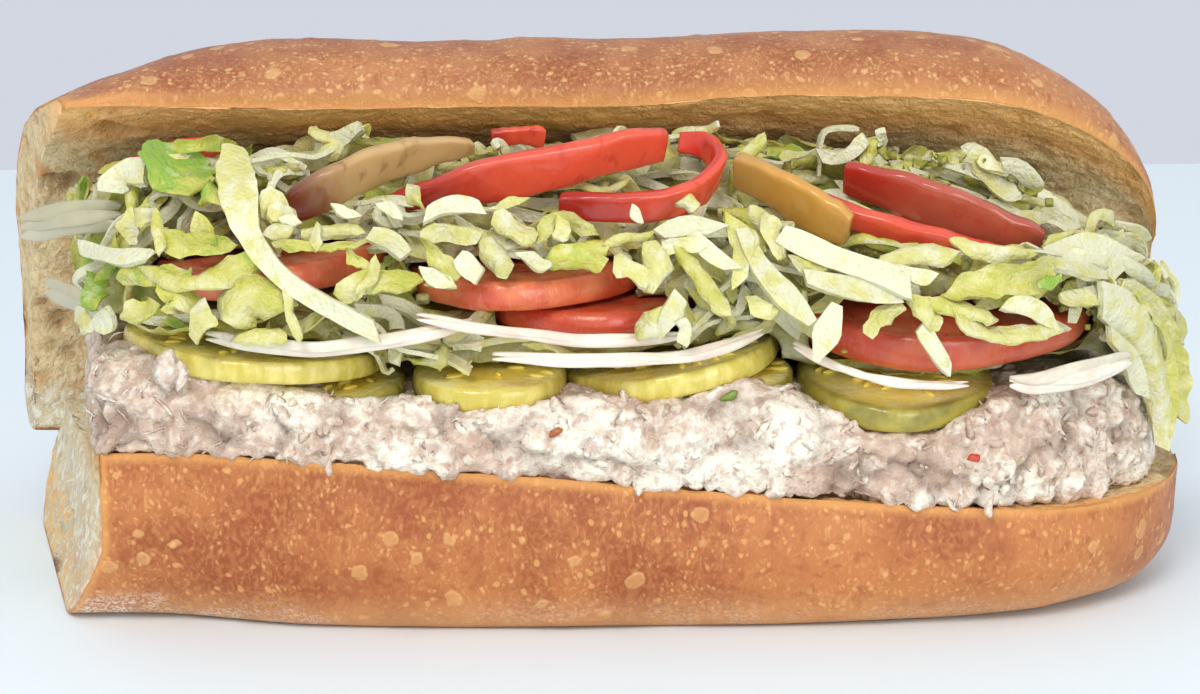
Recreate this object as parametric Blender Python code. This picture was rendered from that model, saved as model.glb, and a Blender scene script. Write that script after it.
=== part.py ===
"""Half of a hinged long roll, opened at the front and filled with tuna salad, pickles, onion, tomato,
shredded lettuce and strips of pepper. X runs along the roll, -Y is the open front, +Z is up.

The design is worked out in millimetres, and to_object() turns each piece into metres.
"""

import math
import random

import bmesh
import bpy
from mathutils import Matrix, Vector, noise
from mathutils.bvhtree import BVHTree

MM = 0.001
GAP = 0.35              # air between two pieces that touch, so that their solids stay apart

# Roll, lower half: a flat-bottomed slab that the knife left hinged at the back
X_LEFT = -85.0          # the loft starts here, and its end is then moved onto the slanting knife cut
X_FADE = -38.0          # the slant has died out here
CUT_LOW = (-91.5, -74.5)  # the cut of the lower half at the hinge and at its front edge
CUT_UP = (-97.0, -83.0)   # the cut of the upper half at the hinge and at its lip
X_ROUND_LOW = 50.0      # the rounded end starts here
X_END_LOW = 93.0
HALF_WIDTH = 75.0       # from the hinge to the front edge
Y_HINGE = 38.0
Z_HINGE = 20.0
Z_EDGE_MEAN = 22.7      # height of the lower half's front edge, which falls from left to right
Z_EDGE_SWING = 4.9
EDGE_FALL = (-75.0, 95.0)   # it falls between these two places
FRONT = -38.0           # place of that edge along the roll
SET_BACK = 4.5          # and how far it is set back at the cut
DISH = 1.2              # the filling presses the crumb down by this much
FOOT_IN = 6.5           # the flat bottom starts this far behind the front edge,
FOOT_IN_CUT = 6.5       # this much further back at the cut,
FOOT_IN_END = 8.0       # and this much at the round end
BULGE = 1.8             # the front crust stands out between foot and edge
FRONT_STEPS = 5         # faces from the edge down to the foot
LOW_BACK = [(34, 2), (40, 6), (43.6, 11), (44, 15.5), (41, 18.5)]
LOW_FLAT = 27.0         # the flat bottom ends here
FOOT_REACH = 5.0        # the torn foot of the cut sticks out this far
FOOT_HEIGHT = 13.0
LOW_CORE = (2.0, 17.5)  # the rounded end closes on this point (y, z)
STATIONS = 9.4          # spacing of the rings along both halves
STRAIGHT_RINGS = 15
END_RUN = 42.0          # the rings crowd together over this last stretch, at these shares of it
END_RINGS = (0.12, 0.27, 0.42, 0.56, 0.7, 0.83, 0.93, 1.0)
CUT_ROWS = 5            # rows of faces across the knife cut

# Roll, upper half: its crumb leans back over the filling, and its crust is the top and the back
X_ROUND_UP = 48.0
X_END_UP = 94.0
UP_CORE = (25.0, 47.0)   # the rounded end closes on this point (y, z)
UP_CRUMB = [(-5, 75.5), (6, 70), (15, 64.5), (22, 58), (27.5, 50), (31, 42), (33.5, 32), (34.5, 22),
            (35.5, 14.5)]
UP_CRUST = [(-5, 75.5), (-4.2, 79), (2, 82.6), (12, 84), (24, 81), (36, 73.5), (45, 62), (50, 50),
            (51.5, 37), (50, 26), (46, 18), (41, 14), (35.5, 14.5)]
UP_CRUST_CUT = [(-5, 75.5), (-4.2, 76.2), (2, 76), (12, 73.6), (24, 70.6), (35, 66.5), (43, 58), (47.5, 48),
                (50, 37), (50, 26), (46, 18), (41, 14), (35.5, 14.5)]
SIDE_POINTS = 13        # points of the crust, and as many of the crumb, in a ring
RIDGE_SWELL = 1.2       # the crown is this much higher right of the middle
CROWN_RUN = 38.0        # the crown reaches its height this far from the cut

# Filling: height of the tuna salad along its front, from the left end to the right end
TUNA_TOP = [(-90, 41.5), (-74, 42.5), (-60, 42), (-51, 38.3), (-41, 36.4), (-23, 36), (-1, 36.3), (10, 38.3),
            (18, 39.6), (28, 35.9), (37, 32.8), (46, 31.2), (55, 33), (61, 36.4), (75, 36), (83, 33), (90, 30)]
TUNA_LUMP = 1.5         # relief of its face
TUNA_BELLY = 1.6        # the face stands out by this much, and leans back by the next towards the pickles
TUNA_LEAN = 2.2
TUNA_PROUD = 1.2        # the face is set back by this much from the edge, and by nothing at the round end
TUNA_SETTLED = 0.6      # between the pickles its top is this much lower
TUNA_ROUND = (42.0, 89.5)   # the heap's round end starts and ends here
TUNA_TOP_ROWS = (-27, -18, -6, 8, 20, 26)
TUNA_FOOT_ROWS = (26.5, 12, -4, -20, -31)
FACE_ROWS = 5

# Heap of lettuce: y of its front for heights from 0 to LEAF_RISE, and z of its top along the roll
LEAF_RISE = 31.0
LETTUCE_FRONT = [(1.5, -31.5), (5, -32), (10, -31.4), (15, -29), (20.5, -24.5), (25.5, -18.5), (29, -12),
                 (LEAF_RISE, -5)]
LETTUCE_TOP = [(-80, 66), (-66, 70), (-30, 71.5), (40, 71), (58, 68.5), (70, 63), (82, 54), (90, 45)]
LETTUCE_ROUND = (50.0, 92.0)
LETTUCE_BACK = [(7, 66.5), (16, 60), (23, 51.5)]
LETTUCE_BED = (14, 0, -14)
CORE_BEHIND = 4.2       # the bare heap lies this far behind its outermost shreds

# Round slices: name, centre, half length in x, half depth in y, thickness, pitch and roll in degrees
SLICES = [
    ("pickle_1", (-52.5, -16.0, 40.4), 20.5, 20.0, 3.4, 0, -4),
    ("pickle_2", (-37.2, -20.5, 34.6), 7.0, 12.5, 3.2, 2, 3),
    ("pickle_3", (-17.5, -24.0, 36.6), 11.6, 12.4, 3.6, 5, 1),
    ("pickle_4", (10.5, -18.6, 38.2), 17.0, 17.5, 3.6, 1, 11),
    ("pickle_5", (23.6, -22.5, 36.2), 5.0, 9.6, 3.0, 2, 0),
    ("pickle_6", (44.0, -20.6, 35.2), 15.0, 16.8, 3.8, 10, -2),
    ("tomato_1", (-50.5, -12.5, 53.2), 18.2, 20.5, 4.6, 1, 5),
    ("tomato_2", (-12.5, -12.0, 51.6), 18.6, 23.5, 4.4, 1, 1),
    ("tomato_3", (-1.0, -10.5, 47.1), 18.6, 24.0, 3.8, 1, 1),
    ("tomato_4", (50.5, -10.5, 46.6), 24.6, 25.0, 5.6, 11, -1),
]

# Onion: name, points along the strip, height, thickness
ONIONS = [
    ("onion_1", [(-59, -32, 45), (-51, -36.5, 44.7), (-43, -38, 44.6), (-34, -37.5, 45), (-26, -35.5, 46),
                 (-20, -32, 46.8)], 2.4, 1.3),
    ("onion_2", [(-28, -36.4, 48.6), (-20, -37.6, 47.4), (-11, -37.8, 46.2), (-2, -37.4, 45.2), (5, -36.6, 45),
                 (11, -35.2, 45.2)], 1.9, 1.1),
    ("onion_3", [(-17, -37.5, 42.8), (-7, -38.6, 42.6), (3, -38.4, 42.5), (11, -37.4, 42.8), (18, -35, 43.8),
                 (23, -31.5, 44.9)], 1.9, 1.2),
    ("onion_4", [(59.5, -35, 38.2), (64, -36, 38.4), (70, -34.6, 38.8), (75, -31.6, 39), (79, -27.5, 39.4)],
     4.2, 1.2),
    ("onion_5", [(27.5, -34.5, 43.6), (31, -37.5, 42.2), (36, -38.6, 40.4), (42, -38.8, 38.9),
                 (48, -38.4, 38.2), (53, -37, 38)], 1.5, 1.1),
    ("onion_6", [(-90, -6, 57), (-84.5, -11, 58.6), (-79, -14.6, 60), (-73, -16, 60.6)], 5.0, 1.2),
    ("onion_7", [(-87, -3, 47), (-83, -8.4, 46.6), (-79, -13, 46.2), (-75, -16, 46)], 3.6, 1.2),
]

# Pepper strips: name, points along the strip, height, thickness, lean of the strip's face in degrees
PEPPERS = [
    ("pepper_red_1", [(-32, -23, 63.4), (-23, -24.5, 65.6), (-15, -24, 67.2), (-6, -22.6, 68.8), (2, -20, 70.4),
                      (9, -17, 71)], 7.0, 2.2, 24),
    ("pepper_red_2", [(-7, -25.5, 63.4), (-1, -26.5, 63.0), (7, -26.5, 63.2), (13.5, -24, 64.6),
                      (17, -19, 67.6), (16, -14, 70), (12, -11.5, 70.4)], 3.2, 2.2, 20),
    ("pepper_red_3", [(27, -16.5, 64.4), (34, -21.5, 61.6), (43, -24.5, 59.2), (53, -25.5, 56.6),
                      (61, -24.5, 54.8)], 4.2, 2.4, 28),
    ("pepper_red_4", [(37, -15, 65.6), (45, -18.4, 63.6), (53, -20.2, 61), (60.5, -20.8, 58),
                      (66, -20.4, 55.8)], 6.8, 2.4, 24),
    ("pepper_red_5", [(-17, -11.5, 71), (-13, -10.6, 71.6), (-9, -9.4, 71.2)], 3.2, 1.8, 10),
    ("pepper_red_6", [(-72, -9, 66.6), (-67, -7, 68.4), (-59, -6, 69.6)], 3.4, 1.8, 20),
    ("pepper_yellow_1", [(-47, -26, 63), (-41, -25.5, 66), (-34, -21, 68.6), (-26, -16.5, 70),
                         (-20, -13.5, 70.4)], 6.4, 2.2, 22),
    ("pepper_yellow_2", [(20, -19, 67.4), (25, -22.5, 65.4), (31, -26.5, 62.4), (36, -29, 60)], 7.4, 2.2, 26),
]

LEAF_THICK = 0.8
SHRED_COUNT = 36
SHRED_TRIES = 40        # for each shred, shorter from try to try
SHRED_SEED = 11

# Long shreds that hang clear in front: points, width
LONG_SHREDS = [
    ([(-54, -25.5, 70.2), (-55, -31, 65.6), (-53, -35, 60.4), (-48, -38.4, 55.4), (-42, -40.5, 51.6),
      (-35, -41.4, 48.6)], 5.6),
    ([(72, -24, 54), (79, -20, 50), (86, -12, 42), (90, -7, 33), (91, -5, 24)], 8.0),
    ([(70, -29, 49), (76, -27.5, 45), (82, -22.5, 39), (87, -16, 32), (89, -12, 25)], 5.0),
    ([(70, -20, 57), (79, -12, 53), (86, -4, 46), (91, 1, 38), (92, 3, 30)], 7.0),
    ([(-72, -4, 42), (-84, -3, 41.5), (-89.5, -5, 36), (-90.5, -8, 27)], 4.4),
    ([(-76, -20, 66), (-79, -23, 60), (-79, -26, 54), (-77, -29, 49)], 7.0),
]

COLOURS = {
    "bread": ((0.60, 0.30, 0.11), 0.6),
    "tuna": ((0.74, 0.66, 0.57), 0.55),
    "pickle": ((0.52, 0.50, 0.09), 0.3),
    "tomato": ((0.66, 0.12, 0.06), 0.3),
    "onion": ((0.88, 0.86, 0.80), 0.35),
    "pepper_red": ((0.62, 0.05, 0.03), 0.25),
    "pepper_yellow": ((0.52, 0.33, 0.06), 0.3),
    "lettuce": ((0.62, 0.76, 0.30), 0.4),
}


def lerp(a, b, t):
    return a + (b - a) * t


def smooth(t):
    """0 below 0, 1 above 1, and a soft step between."""
    t = min(max(t, 0.0), 1.0)
    return t * t * (3 - 2 * t)


def table(points, x):
    """Reads a smooth curve through (x, value) pairs."""
    if x <= points[0][0]:
        return points[0][1]
    for (x0, v0), (x1, v1) in zip(points, points[1:]):
        if x <= x1:
            return lerp(v0, v1, smooth((x - x0) / (x1 - x0)))
    return points[-1][1]


def spline(points, count):
    """count points, evenly spaced in the parameter, on a smooth curve through the given ones."""
    p = [Vector(q) for q in points]
    p = [2 * p[0] - p[1]] + p + [2 * p[-1] - p[-2]]
    spans = len(p) - 3
    found = []
    for i in range(count):
        u = i / (count - 1) * spans
        k = min(int(u), spans - 1)
        t = u - k
        a, b, c, d = p[k:k + 4]
        found.append(0.5 * (2 * b + (c - a) * t + (2 * a - 5 * b + 4 * c - d) * t * t
                            + (3 * b - a - 3 * c + d) * t ** 3))
    return found


def grain(x, y, z, size, seed=0.0):
    """Soft random value from about -1 to 1, for lumps of the given size."""
    return noise.noise(Vector((x / size + seed, y / size, z / size)))


def material(name):
    made = bpy.data.materials.get(name)
    if made is None:
        colour, roughness = COLOURS[name]
        made = bpy.data.materials.new(name)
        made.use_nodes = True
        shader = made.node_tree.nodes["Principled BSDF"]
        shader.inputs["Base Color"].default_value = (*colour, 1)
        shader.inputs["Roughness"].default_value = roughness
        shader.inputs["Metallic"].default_value = 0.0
    return made


def to_object(name, bm, finish, collection):
    """The bmesh, in millimetres, as an object in metres."""
    bmesh.ops.transform(bm, matrix=Matrix.Scale(MM, 4), verts=bm.verts)
    bmesh.ops.recalc_face_normals(bm, faces=bm.faces)
    bmesh.ops.triangulate(bm, faces=bm.faces)
    mesh = bpy.data.meshes.new(name)
    bm.to_mesh(mesh)
    bm.free()
    mesh.materials.append(material(finish))
    mesh.shade_smooth()
    made = bpy.data.objects.new(name, mesh)
    collection.objects.link(made)
    return made


def fan(bm, ring, move, levels=()):
    """Closes a ring of vertices with smaller rings towards its middle, each point shifted by move()."""
    middle = sum((v.co for v in ring), Vector()) / len(ring)
    outer = ring
    for level in levels:
        inner = [bm.verts.new(move(middle + (v.co - middle) * level)) for v in ring]
        for i in range(len(ring)):
            j = (i + 1) % len(ring)
            bm.faces.new((outer[i], outer[j], inner[j], inner[i]))
        outer = inner
    tip = bm.verts.new(move(middle))
    for i in range(len(ring)):
        bm.faces.new((outer[i], outer[(i + 1) % len(ring)], tip))


def bridge(bm, ring, move, rows):
    """Closes a ring of two curves that share their end points with rows of quads from one to the other."""
    count = len(ring) // 2 + 1
    near, far = ring[:count], [ring[0]] + ring[count - 1:][::-1]
    row = near
    for r in range(1, rows + 1):
        onward = far
        if r < rows:
            between = [bm.verts.new(move(a.co.lerp(b.co, r / rows))) for a, b in zip(near[1:-1], far[1:-1])]
            onward = [near[0]] + between + [near[-1]]
        for i in range(count - 1):
            corners = dict.fromkeys((row[i], row[i + 1], onward[i + 1], onward[i]))
            bm.faces.new(corners)
        row = onward


def loft(sections, close_start, close_end):
    """A closed solid through rings of equal count. The last two arguments close its ends."""
    bm = bmesh.new()
    rings = [[bm.verts.new(p) for p in section] for section in sections]
    for a, b in zip(rings, rings[1:]):
        for i in range(len(a)):
            j = (i + 1) % len(a)
            bm.faces.new((a[i], a[j], b[j], b[i]))
    close_start(bm, rings[0])
    close_end(bm, rings[-1])
    return bm


def unmoved(point):
    return point


def flat_end(bm, ring):
    fan(bm, ring, unmoved)


def bridged_end(bm, ring):
    bridge(bm, ring, unmoved, 2)


def torn_end(bm, ring):
    bridge(bm, ring, torn_crumb, CUT_ROWS)


def lumpy_end(bm, ring):
    fan(bm, ring, tuna_lump, (0.7, 0.4))


def leaf_end(bm, ring):
    bm.faces.new(ring)


def slant(x, across, cut):
    """Moves a point of the loft so that the left end lies on the knife cut. across runs from 0 at the hinge
    to 1 at the front, and cut holds the place of the cut there."""
    fade = min(max((X_FADE - x) / (X_FADE - X_LEFT), 0.0), 1.0)
    return x + (lerp(*cut, min(max(across, -0.2), 1.1)) - X_LEFT) * fade


def end_scale(x, start, end, power=2.0):
    """1 along the roll, falling to 0 round its right end."""
    u = min(max((x - start) / (end - start), 0.0), 0.997)
    return (1 - u ** power) ** (1 / power)


def edge_height(x):
    """Height of the lower half's front edge."""
    start, end = EDGE_FALL
    return Z_EDGE_MEAN + Z_EDGE_SWING * math.cos(math.pi * min(max((x - start) / (end - start), 0), 1))


def front_edge(x):
    """The lower half's front edge, slightly bowed and set back at the cut."""
    return FRONT + SET_BACK * smooth((-x - 15) / 65)


def crumb_height(x, y):
    """The lower half's crumb, dished a little where the filling presses on it."""
    t = min(max((Y_HINGE - y) / (Y_HINGE - front_edge(x)), 0.0), 1.0)
    return lerp(Z_HINGE, edge_height(x), t) - DISH * math.sin(math.pi * t)


def foot_inset(x):
    """How far the flat bottom starts behind the front edge."""
    return FOOT_IN + FOOT_IN_CUT * smooth((-x - 45) / 35) + FOOT_IN_END * smooth((x - 20) / 60)


def lower_outline(x):
    """Crust and crumb of the lower half, both from the front edge to the hinge."""
    edge, front, inset = edge_height(x), front_edge(x), foot_inset(x)
    crust = [(front, edge)]
    for i in range(1, FRONT_STEPS + 1):
        a = math.pi / 2 * i / FRONT_STEPS
        z = edge * (1 - math.sin(a) ** 0.85)
        y = front + inset * (1 - math.cos(a) ** 0.7) - BULGE * math.sin(math.pi * z / edge)
        crust.append((y, max(z, 0.0)))
    crust += [(lerp(front + inset, LOW_FLAT, t), 0.0) for t in (0.5, 1.0)] + LOW_BACK
    crumb = [(front, edge)]
    for i in range(1, SIDE_POINTS - 1):
        y = lerp(front, Y_HINGE, i / (SIDE_POINTS - 2))
        crumb.append((y, crumb_height(x, y)))
    return crust, crumb + [crust[-1]]


def lower_section(x):
    crust, crumb = lower_outline(x)
    wide, deep = end_scale(x, X_ROUND_LOW, X_END_LOW), end_scale(x, X_ROUND_LOW, X_END_LOW, 3.6)
    found = []
    for y, z in crust + crumb[1:-1][::-1]:
        torn = FOOT_REACH * max(0.0, 1 - z / FOOT_HEIGHT) * smooth((X_LEFT + 14 - x) / 14)
        at = slant(x, (Y_HINGE - y) / HALF_WIDTH, CUT_LOW) - torn
        wave = 0.5 * grain(at, y, z, 17.0) if z > 0.5 else 0.0
        height = LOW_CORE[1] + (z - LOW_CORE[1]) * (deep if z < LOW_CORE[1] else 1.0)
        found.append(Vector((at, LOW_CORE[0] + (y - LOW_CORE[0]) * wide - wave, height)))
    return found


def upper_section(x):
    rise = 1 - (1 - min(max((x - X_LEFT) / CROWN_RUN, 0), 1)) ** 2
    crust = [(lerp(a[0], b[0], rise), lerp(a[1], b[1], rise), 0) for a, b in zip(UP_CRUST_CUT, UP_CRUST)]
    crumb = [(*q, 0) for q in UP_CRUMB]
    crown = RIDGE_SWELL * smooth((x + 5) / 30)
    k = end_scale(x, X_ROUND_UP, X_END_UP)
    found = []
    for point in spline(crust, SIDE_POINTS) + spline(crumb, SIDE_POINTS)[1:-1][::-1]:
        y, z = point.x, point.y + crown * smooth((point.y - 60) / 20)
        at = slant(x, (Y_HINGE - y) / (Y_HINGE - UP_CRUST[0][0]), CUT_UP)
        swell = 0.7 * grain(at, y, z, 21.0, 5.0) if z > 30 else 0.0
        found.append(Vector((at, UP_CORE[0] + (y - UP_CORE[0]) * k, UP_CORE[1] + (z - UP_CORE[1]) * k + swell)))
    return found


def torn_crumb(point):
    return point + Vector((1.5 * grain(point.x, point.y, point.z, 5.0, 9.0) - 0.3, 0, 0))


def make_half(name, section, end, collection):
    steps = [X_LEFT + STATIONS * i for i in range(STRAIGHT_RINGS)]
    steps += [end - END_RUN * (1 - t) ** 2 for t in END_RINGS]
    return to_object(name, loft([section(x) for x in steps], torn_end, bridged_end), "bread", collection)


def evaluated(obj):
    """Applies an object's modifiers to its mesh."""
    graph = bpy.context.evaluated_depsgraph_get()
    mesh = bpy.data.meshes.new_from_object(obj.evaluated_get(graph))
    obj.modifiers.clear()
    obj.data = mesh


def combine(target, others, operation, solver):
    """Joins or cuts the target with every object of a collection, and removes the collection's objects."""
    step = target.modifiers.new(operation.lower(), "BOOLEAN")
    step.operation = operation
    step.operand_type = "COLLECTION"
    step.collection = others
    step.solver = solver
    evaluated(target)
    for tool in list(others.objects):
        bpy.data.objects.remove(tool)


def keep_largest(obj):
    """Drops the loose scraps and sealed hollows that a Boolean left."""
    bm = bmesh.new()
    bm.from_mesh(obj.data)
    left, islands = set(bm.verts), []
    while left:
        stack, island = [left.pop()], []
        while stack:
            v = stack.pop()
            island.append(v)
            for e in v.link_edges:
                w = e.other_vert(v)
                if w in left:
                    left.remove(w)
                    stack.append(w)
        islands.append(island)
    islands.sort(key=len)
    for island in islands[:-1]:
        bmesh.ops.delete(bm, geom=island, context="VERTS")
    bm.to_mesh(obj.data)
    bm.free()


def helpers(name):
    made = bpy.data.collections.new(name)
    bpy.context.scene.collection.children.link(made)
    made.hide_render = True
    return made


def make_roll(collection):
    roll = make_half("roll", lower_section, X_END_LOW, collection)
    tools = helpers("roll halves")
    make_half("upper_half", upper_section, X_END_UP, tools)
    combine(roll, tools, "UNION", "EXACT")
    keep_largest(roll)
    return roll


def tuna_section(x):
    """Front face with lumps, a top that carries the pickles, and a plain back."""
    top, reach = table(TUNA_TOP, x) - TUNA_SETTLED, end_scale(x, *TUNA_ROUND)
    front = front_edge(x) + TUNA_PROUD * (1 - smooth((x - 35) / 20))
    points = []
    for i in range(FACE_ROWS + 1):
        t = i / FACE_ROWS
        z = lerp(crumb_height(x, front + 2) + (GAP if i else -1.0), top, t)
        swell = TUNA_BELLY * math.sin(math.pi * (0.12 + 0.8 * t)) - TUNA_LEAN * t ** 4
        lump = TUNA_LUMP * grain(x, 0, z, 5.2, 3.0) + 0.6 * grain(x, 2, z, 2.6, 7.0)
        points.append((front - swell + lump * math.sin(math.pi * min(t + 0.12, 1)) ** 0.5, z))
    for y in TUNA_TOP_ROWS:
        points.append((y, top + 0.4 * grain(x, y, 0, 6.0)))
    for y in TUNA_FOOT_ROWS:
        points.append((y, crumb_height(x, y) - 1.0))
    found = []
    for y, z in points:
        at = x + (11 - 0.16 * (y + 35)) * smooth((-58 - x) / 27)
        at += 1.2 * grain(x, y, z, 6.0, 1.0) * smooth((-70 - x) / 10)
        found.append(Vector((at, 4 + (y - 4) * reach, z)))
    return found


def tuna_lump(point):
    return point + Vector((1.6 * grain(point.x, point.y, point.z, 4.5, 2.0) - 0.8, 0, 0))


def make_tuna(collection):
    steps = [X_LEFT + 6.0 * i for i in range(26)] + [70, 74.6, 78.6, 82, 85, 87, 88.4]
    bm = loft([tuna_section(x) for x in steps], lumpy_end, flat_end)
    return to_object("tuna_salad", bm, "tuna", collection)


def placed(centre, pitch, roll):
    return (Matrix.Translation(centre) @ Matrix.Rotation(math.radians(-roll), 4, "Y")
            @ Matrix.Rotation(math.radians(pitch), 4, "X"))


def make_slice(entry, collection, extra=0.0):
    """A round slice with softened rims. extra grows it on every side, for a cutter."""
    name, centre, half_x, half_y, thick, pitch, roll = entry
    sides = 16 + 2 * round(half_x / 6)
    half = thick / 2 + extra
    rims = [(-half, 0.6), (-half + 0.5, 0.0), (half - 0.5, 0.0), (half, 0.6)]
    matrix = placed(centre, pitch, roll)
    wobble = len(name) + centre[0]
    sections = []
    for z, inset in rims:
        ring = []
        for i in range(sides):
            a = 2 * math.pi * i / sides
            r = 1 + 0.025 * math.sin(3 * a + wobble) + 0.015 * math.sin(5 * a + 2 * wobble)
            ring.append(matrix @ Vector(((half_x * r + extra - inset) * math.cos(a),
                                         (half_y * r + extra - inset) * math.sin(a), z)))
        sections.append(ring)
    finish = name.rstrip("0123456789").rstrip("_")
    return to_object(name, loft(sections, flat_end, flat_end), finish, collection)


def band_section(here, along, height, thick, lean, extra):
    """Eight points round a strip whose broad face looks forward."""
    up = Matrix.Rotation(math.radians(lean), 3, along) @ Vector((0, 0, 1))
    up = (up - along * up.dot(along)).normalized()
    out = along.cross(up)
    half_h, half_t = height / 2 + extra, thick / 2 + extra
    corner = min(half_t * 0.7, half_h * 0.7)
    shape = [(-half_h + corner, -half_t), (half_h - corner, -half_t), (half_h, -half_t + corner),
             (half_h, half_t - corner), (half_h - corner, half_t), (-half_h + corner, half_t),
             (-half_h, half_t - corner), (-half_h, -half_t + corner)]
    return [here + up * a + out * b for a, b in shape]


def make_strip(name, points, height, thick, lean, finish, collection, extra=0.0):
    count = len(points) + 3
    path = spline(points, count)
    if extra:
        first, last = (path[0] - path[1]).normalized(), (path[-1] - path[-2]).normalized()
        path[0], path[-1] = path[0] + first * extra, path[-1] + last * extra
    sections = []
    for i, here in enumerate(path):
        along = (path[min(i + 1, count - 1)] - path[max(i - 1, 0)]).normalized()
        sections.append(band_section(here, along, height, thick, lean, extra))
    return to_object(name, loft(sections, flat_end, flat_end), finish, collection)


def ribbon(points, width, wave, turn, seed, count):
    """A thin wavy shred of one thickness. turn leans it, in degrees."""
    path = spline(points, count)
    sections = []
    for i, here in enumerate(path):
        along = (path[min(i + 1, count - 1)] - path[max(i - 1, 0)]).normalized()
        twist = math.radians(turn + 45 * grain(i, seed, 0, 3.0))
        side = Matrix.Rotation(twist, 3, along) @ Vector((0, -0.3, 1))
        side = (side - along * side.dot(along)).normalized()
        out = along.cross(side) * LEAF_THICK / 2
        here = here + out * 2 * wave * grain(i, seed, 4, 2.0)
        side *= width / 2 * math.sin(math.pi * (0.14 + 0.72 * i / (count - 1)))
        sections.append([here + side + out, here - side + out, here - side - out, here + side - out])
    return loft(sections, leaf_end, leaf_end)


def heap_point(x, height, behind=0.0):
    """A point of the heap's front, for a height between 0 at the tuna salad and LEAF_RISE at the top."""
    base = table(TUNA_TOP, x) + 1.0
    y = table(LETTUCE_FRONT, height) + behind
    reach = end_scale(x, *LETTUCE_ROUND) * (1 - 0.3 * smooth((-58 - x) / 20))
    return Vector((x, 6 + (y - 6) * reach, lerp(base, table(LETTUCE_TOP, x) - behind, height / LEAF_RISE)))


def lettuce_section(x):
    front = [heap_point(x, height, CORE_BEHIND) for height, _ in LETTUCE_FRONT]
    top, base = front[-1].z, front[0].z
    points = [(p.y + 0.8 * grain(x, 0, p.z, 6.0, 4.0), p.z) for p in front]
    low = lerp(base + 3, top, 0.35)
    points += [(y, min(z, top - 1.5)) for y, z in LETTUCE_BACK] + [(28, low), (26, base + 1)]
    points += [(y, base) for y in LETTUCE_BED]
    return [Vector((x - 0.16 * (y + 25) * smooth((-58 - x) / 16), y, z)) for y, z in points]


def inside_slice(point):
    """True within a slice of tomato or pickle."""
    for _, centre, half_x, half_y, thick, pitch, roll in SLICES:
        local = placed(centre, pitch, roll).inverted() @ point
        if (local.x / half_x) ** 2 + (local.y / half_y) ** 2 < 1 and abs(local.z) < thick / 2:
            return True
    return False


def joined_tree(objects):
    """A search tree, in millimetres, of the faces of several objects."""
    bm = bmesh.new()
    for obj in objects:
        bm.from_mesh(obj.data)
    bmesh.ops.transform(bm, matrix=Matrix.Scale(1 / MM, 4), verts=bm.verts)
    tree = BVHTree.FromBMesh(bm)
    bm.free()
    return tree


def random_shred(draw, x, shrink):
    """Points of a shred on the heap's front near x, or nothing where it would run off the heap."""
    long, height = draw.uniform(15, 30) * shrink, draw.uniform(2.5, 30)
    angle = draw.gauss(-0.2, 0.55)
    ends = [(x + long * t * math.cos(angle), height + long * t * math.sin(angle)) for t in (-0.5, 0.5)]
    if not all(-77 < px < 84 and 2 < ph < LEAF_RISE for px, ph in ends):
        return None
    return [heap_point(lerp(ends[0][0], ends[1][0], i / 3), lerp(ends[0][1], ends[1][1], i / 3),
                       draw.uniform(-2.0, 1.0) if i else CORE_BEHIND + 1.2) for i in range(4)]


def make_shreds(toppings, collection):
    """Seeded shreds all along the heap's front, each shortened, moved or skipped to clear the toppings."""
    draw = random.Random(SHRED_SEED)
    for number in range(SHRED_COUNT):
        for attempt in range(SHRED_TRIES):
            x = lerp(-74, 80, (number + draw.uniform(-1, 1)) / SHRED_COUNT)
            points = random_shred(draw, x, 1 - 0.6 * attempt / SHRED_TRIES)
            width, turn = draw.uniform(4.0, 7.4), draw.uniform(-40, 40)
            if not points or any(inside_slice(p) for p in points):
                continue
            shred = ribbon(points, width, 0.9, turn, number * 3.7, 5)
            if BVHTree.FromBMesh(shred).overlap(toppings):
                shred.free()
                continue
            to_object(f"shred_{number}", shred, "lettuce", collection)
            break
    for number, (points, width) in enumerate(LONG_SHREDS):
        to_object(f"long_shred_{number}", ribbon(points, width, 0.6, 0, number * 5.3, 8), "lettuce", collection)


def grown(obj, collection):
    """A copy of the object, bigger by the gap, that cuts room for it."""
    copy = obj.copy()
    copy.data = obj.data.copy()
    for vertex in copy.data.vertices:
        vertex.co += vertex.normal * GAP * 1.3 * MM
    collection.objects.link(copy)


def make_lettuce(collection, neighbours):
    """One heap: a core that fills the space round the toppings, with shreds fused to its face."""
    steps = [-76 + 7.4 * i for i in range(20)] + [70.5, 75.5, 79.5, 82.5, 84.5]
    heap = to_object("lettuce_shreds", loft([lettuce_section(x) for x in steps], flat_end, flat_end),
                     "lettuce", collection)
    pockets = helpers("topping pockets")
    for entry in SLICES:
        make_slice(entry, pockets, GAP)
    for name, points, height, thick in ONIONS:
        make_strip(name, points, height, thick, 0, "onion", pockets, GAP)
    for name, points, height, thick, lean in PEPPERS:
        make_strip(name, points, height, thick, lean, "pepper_red", pockets, GAP)
    for obj in neighbours:
        grown(obj, pockets)
    shreds = helpers("shreds")
    make_shreds(joined_tree(pockets.objects), shreds)
    combine(heap, shreds, "UNION", "MANIFOLD")
    combine(heap, pockets, "DIFFERENCE", "MANIFOLD")
    keep_largest(heap)


def press(target, entries, neighbours):
    """Presses the pickle slices and the roll into the tuna salad."""
    tools = helpers("pickle pockets")
    for entry in entries:
        make_slice(entry, tools, GAP)
    for obj in neighbours:
        grown(obj, tools)
    combine(target, tools, "DIFFERENCE", "MANIFOLD")
    keep_largest(target)


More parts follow.
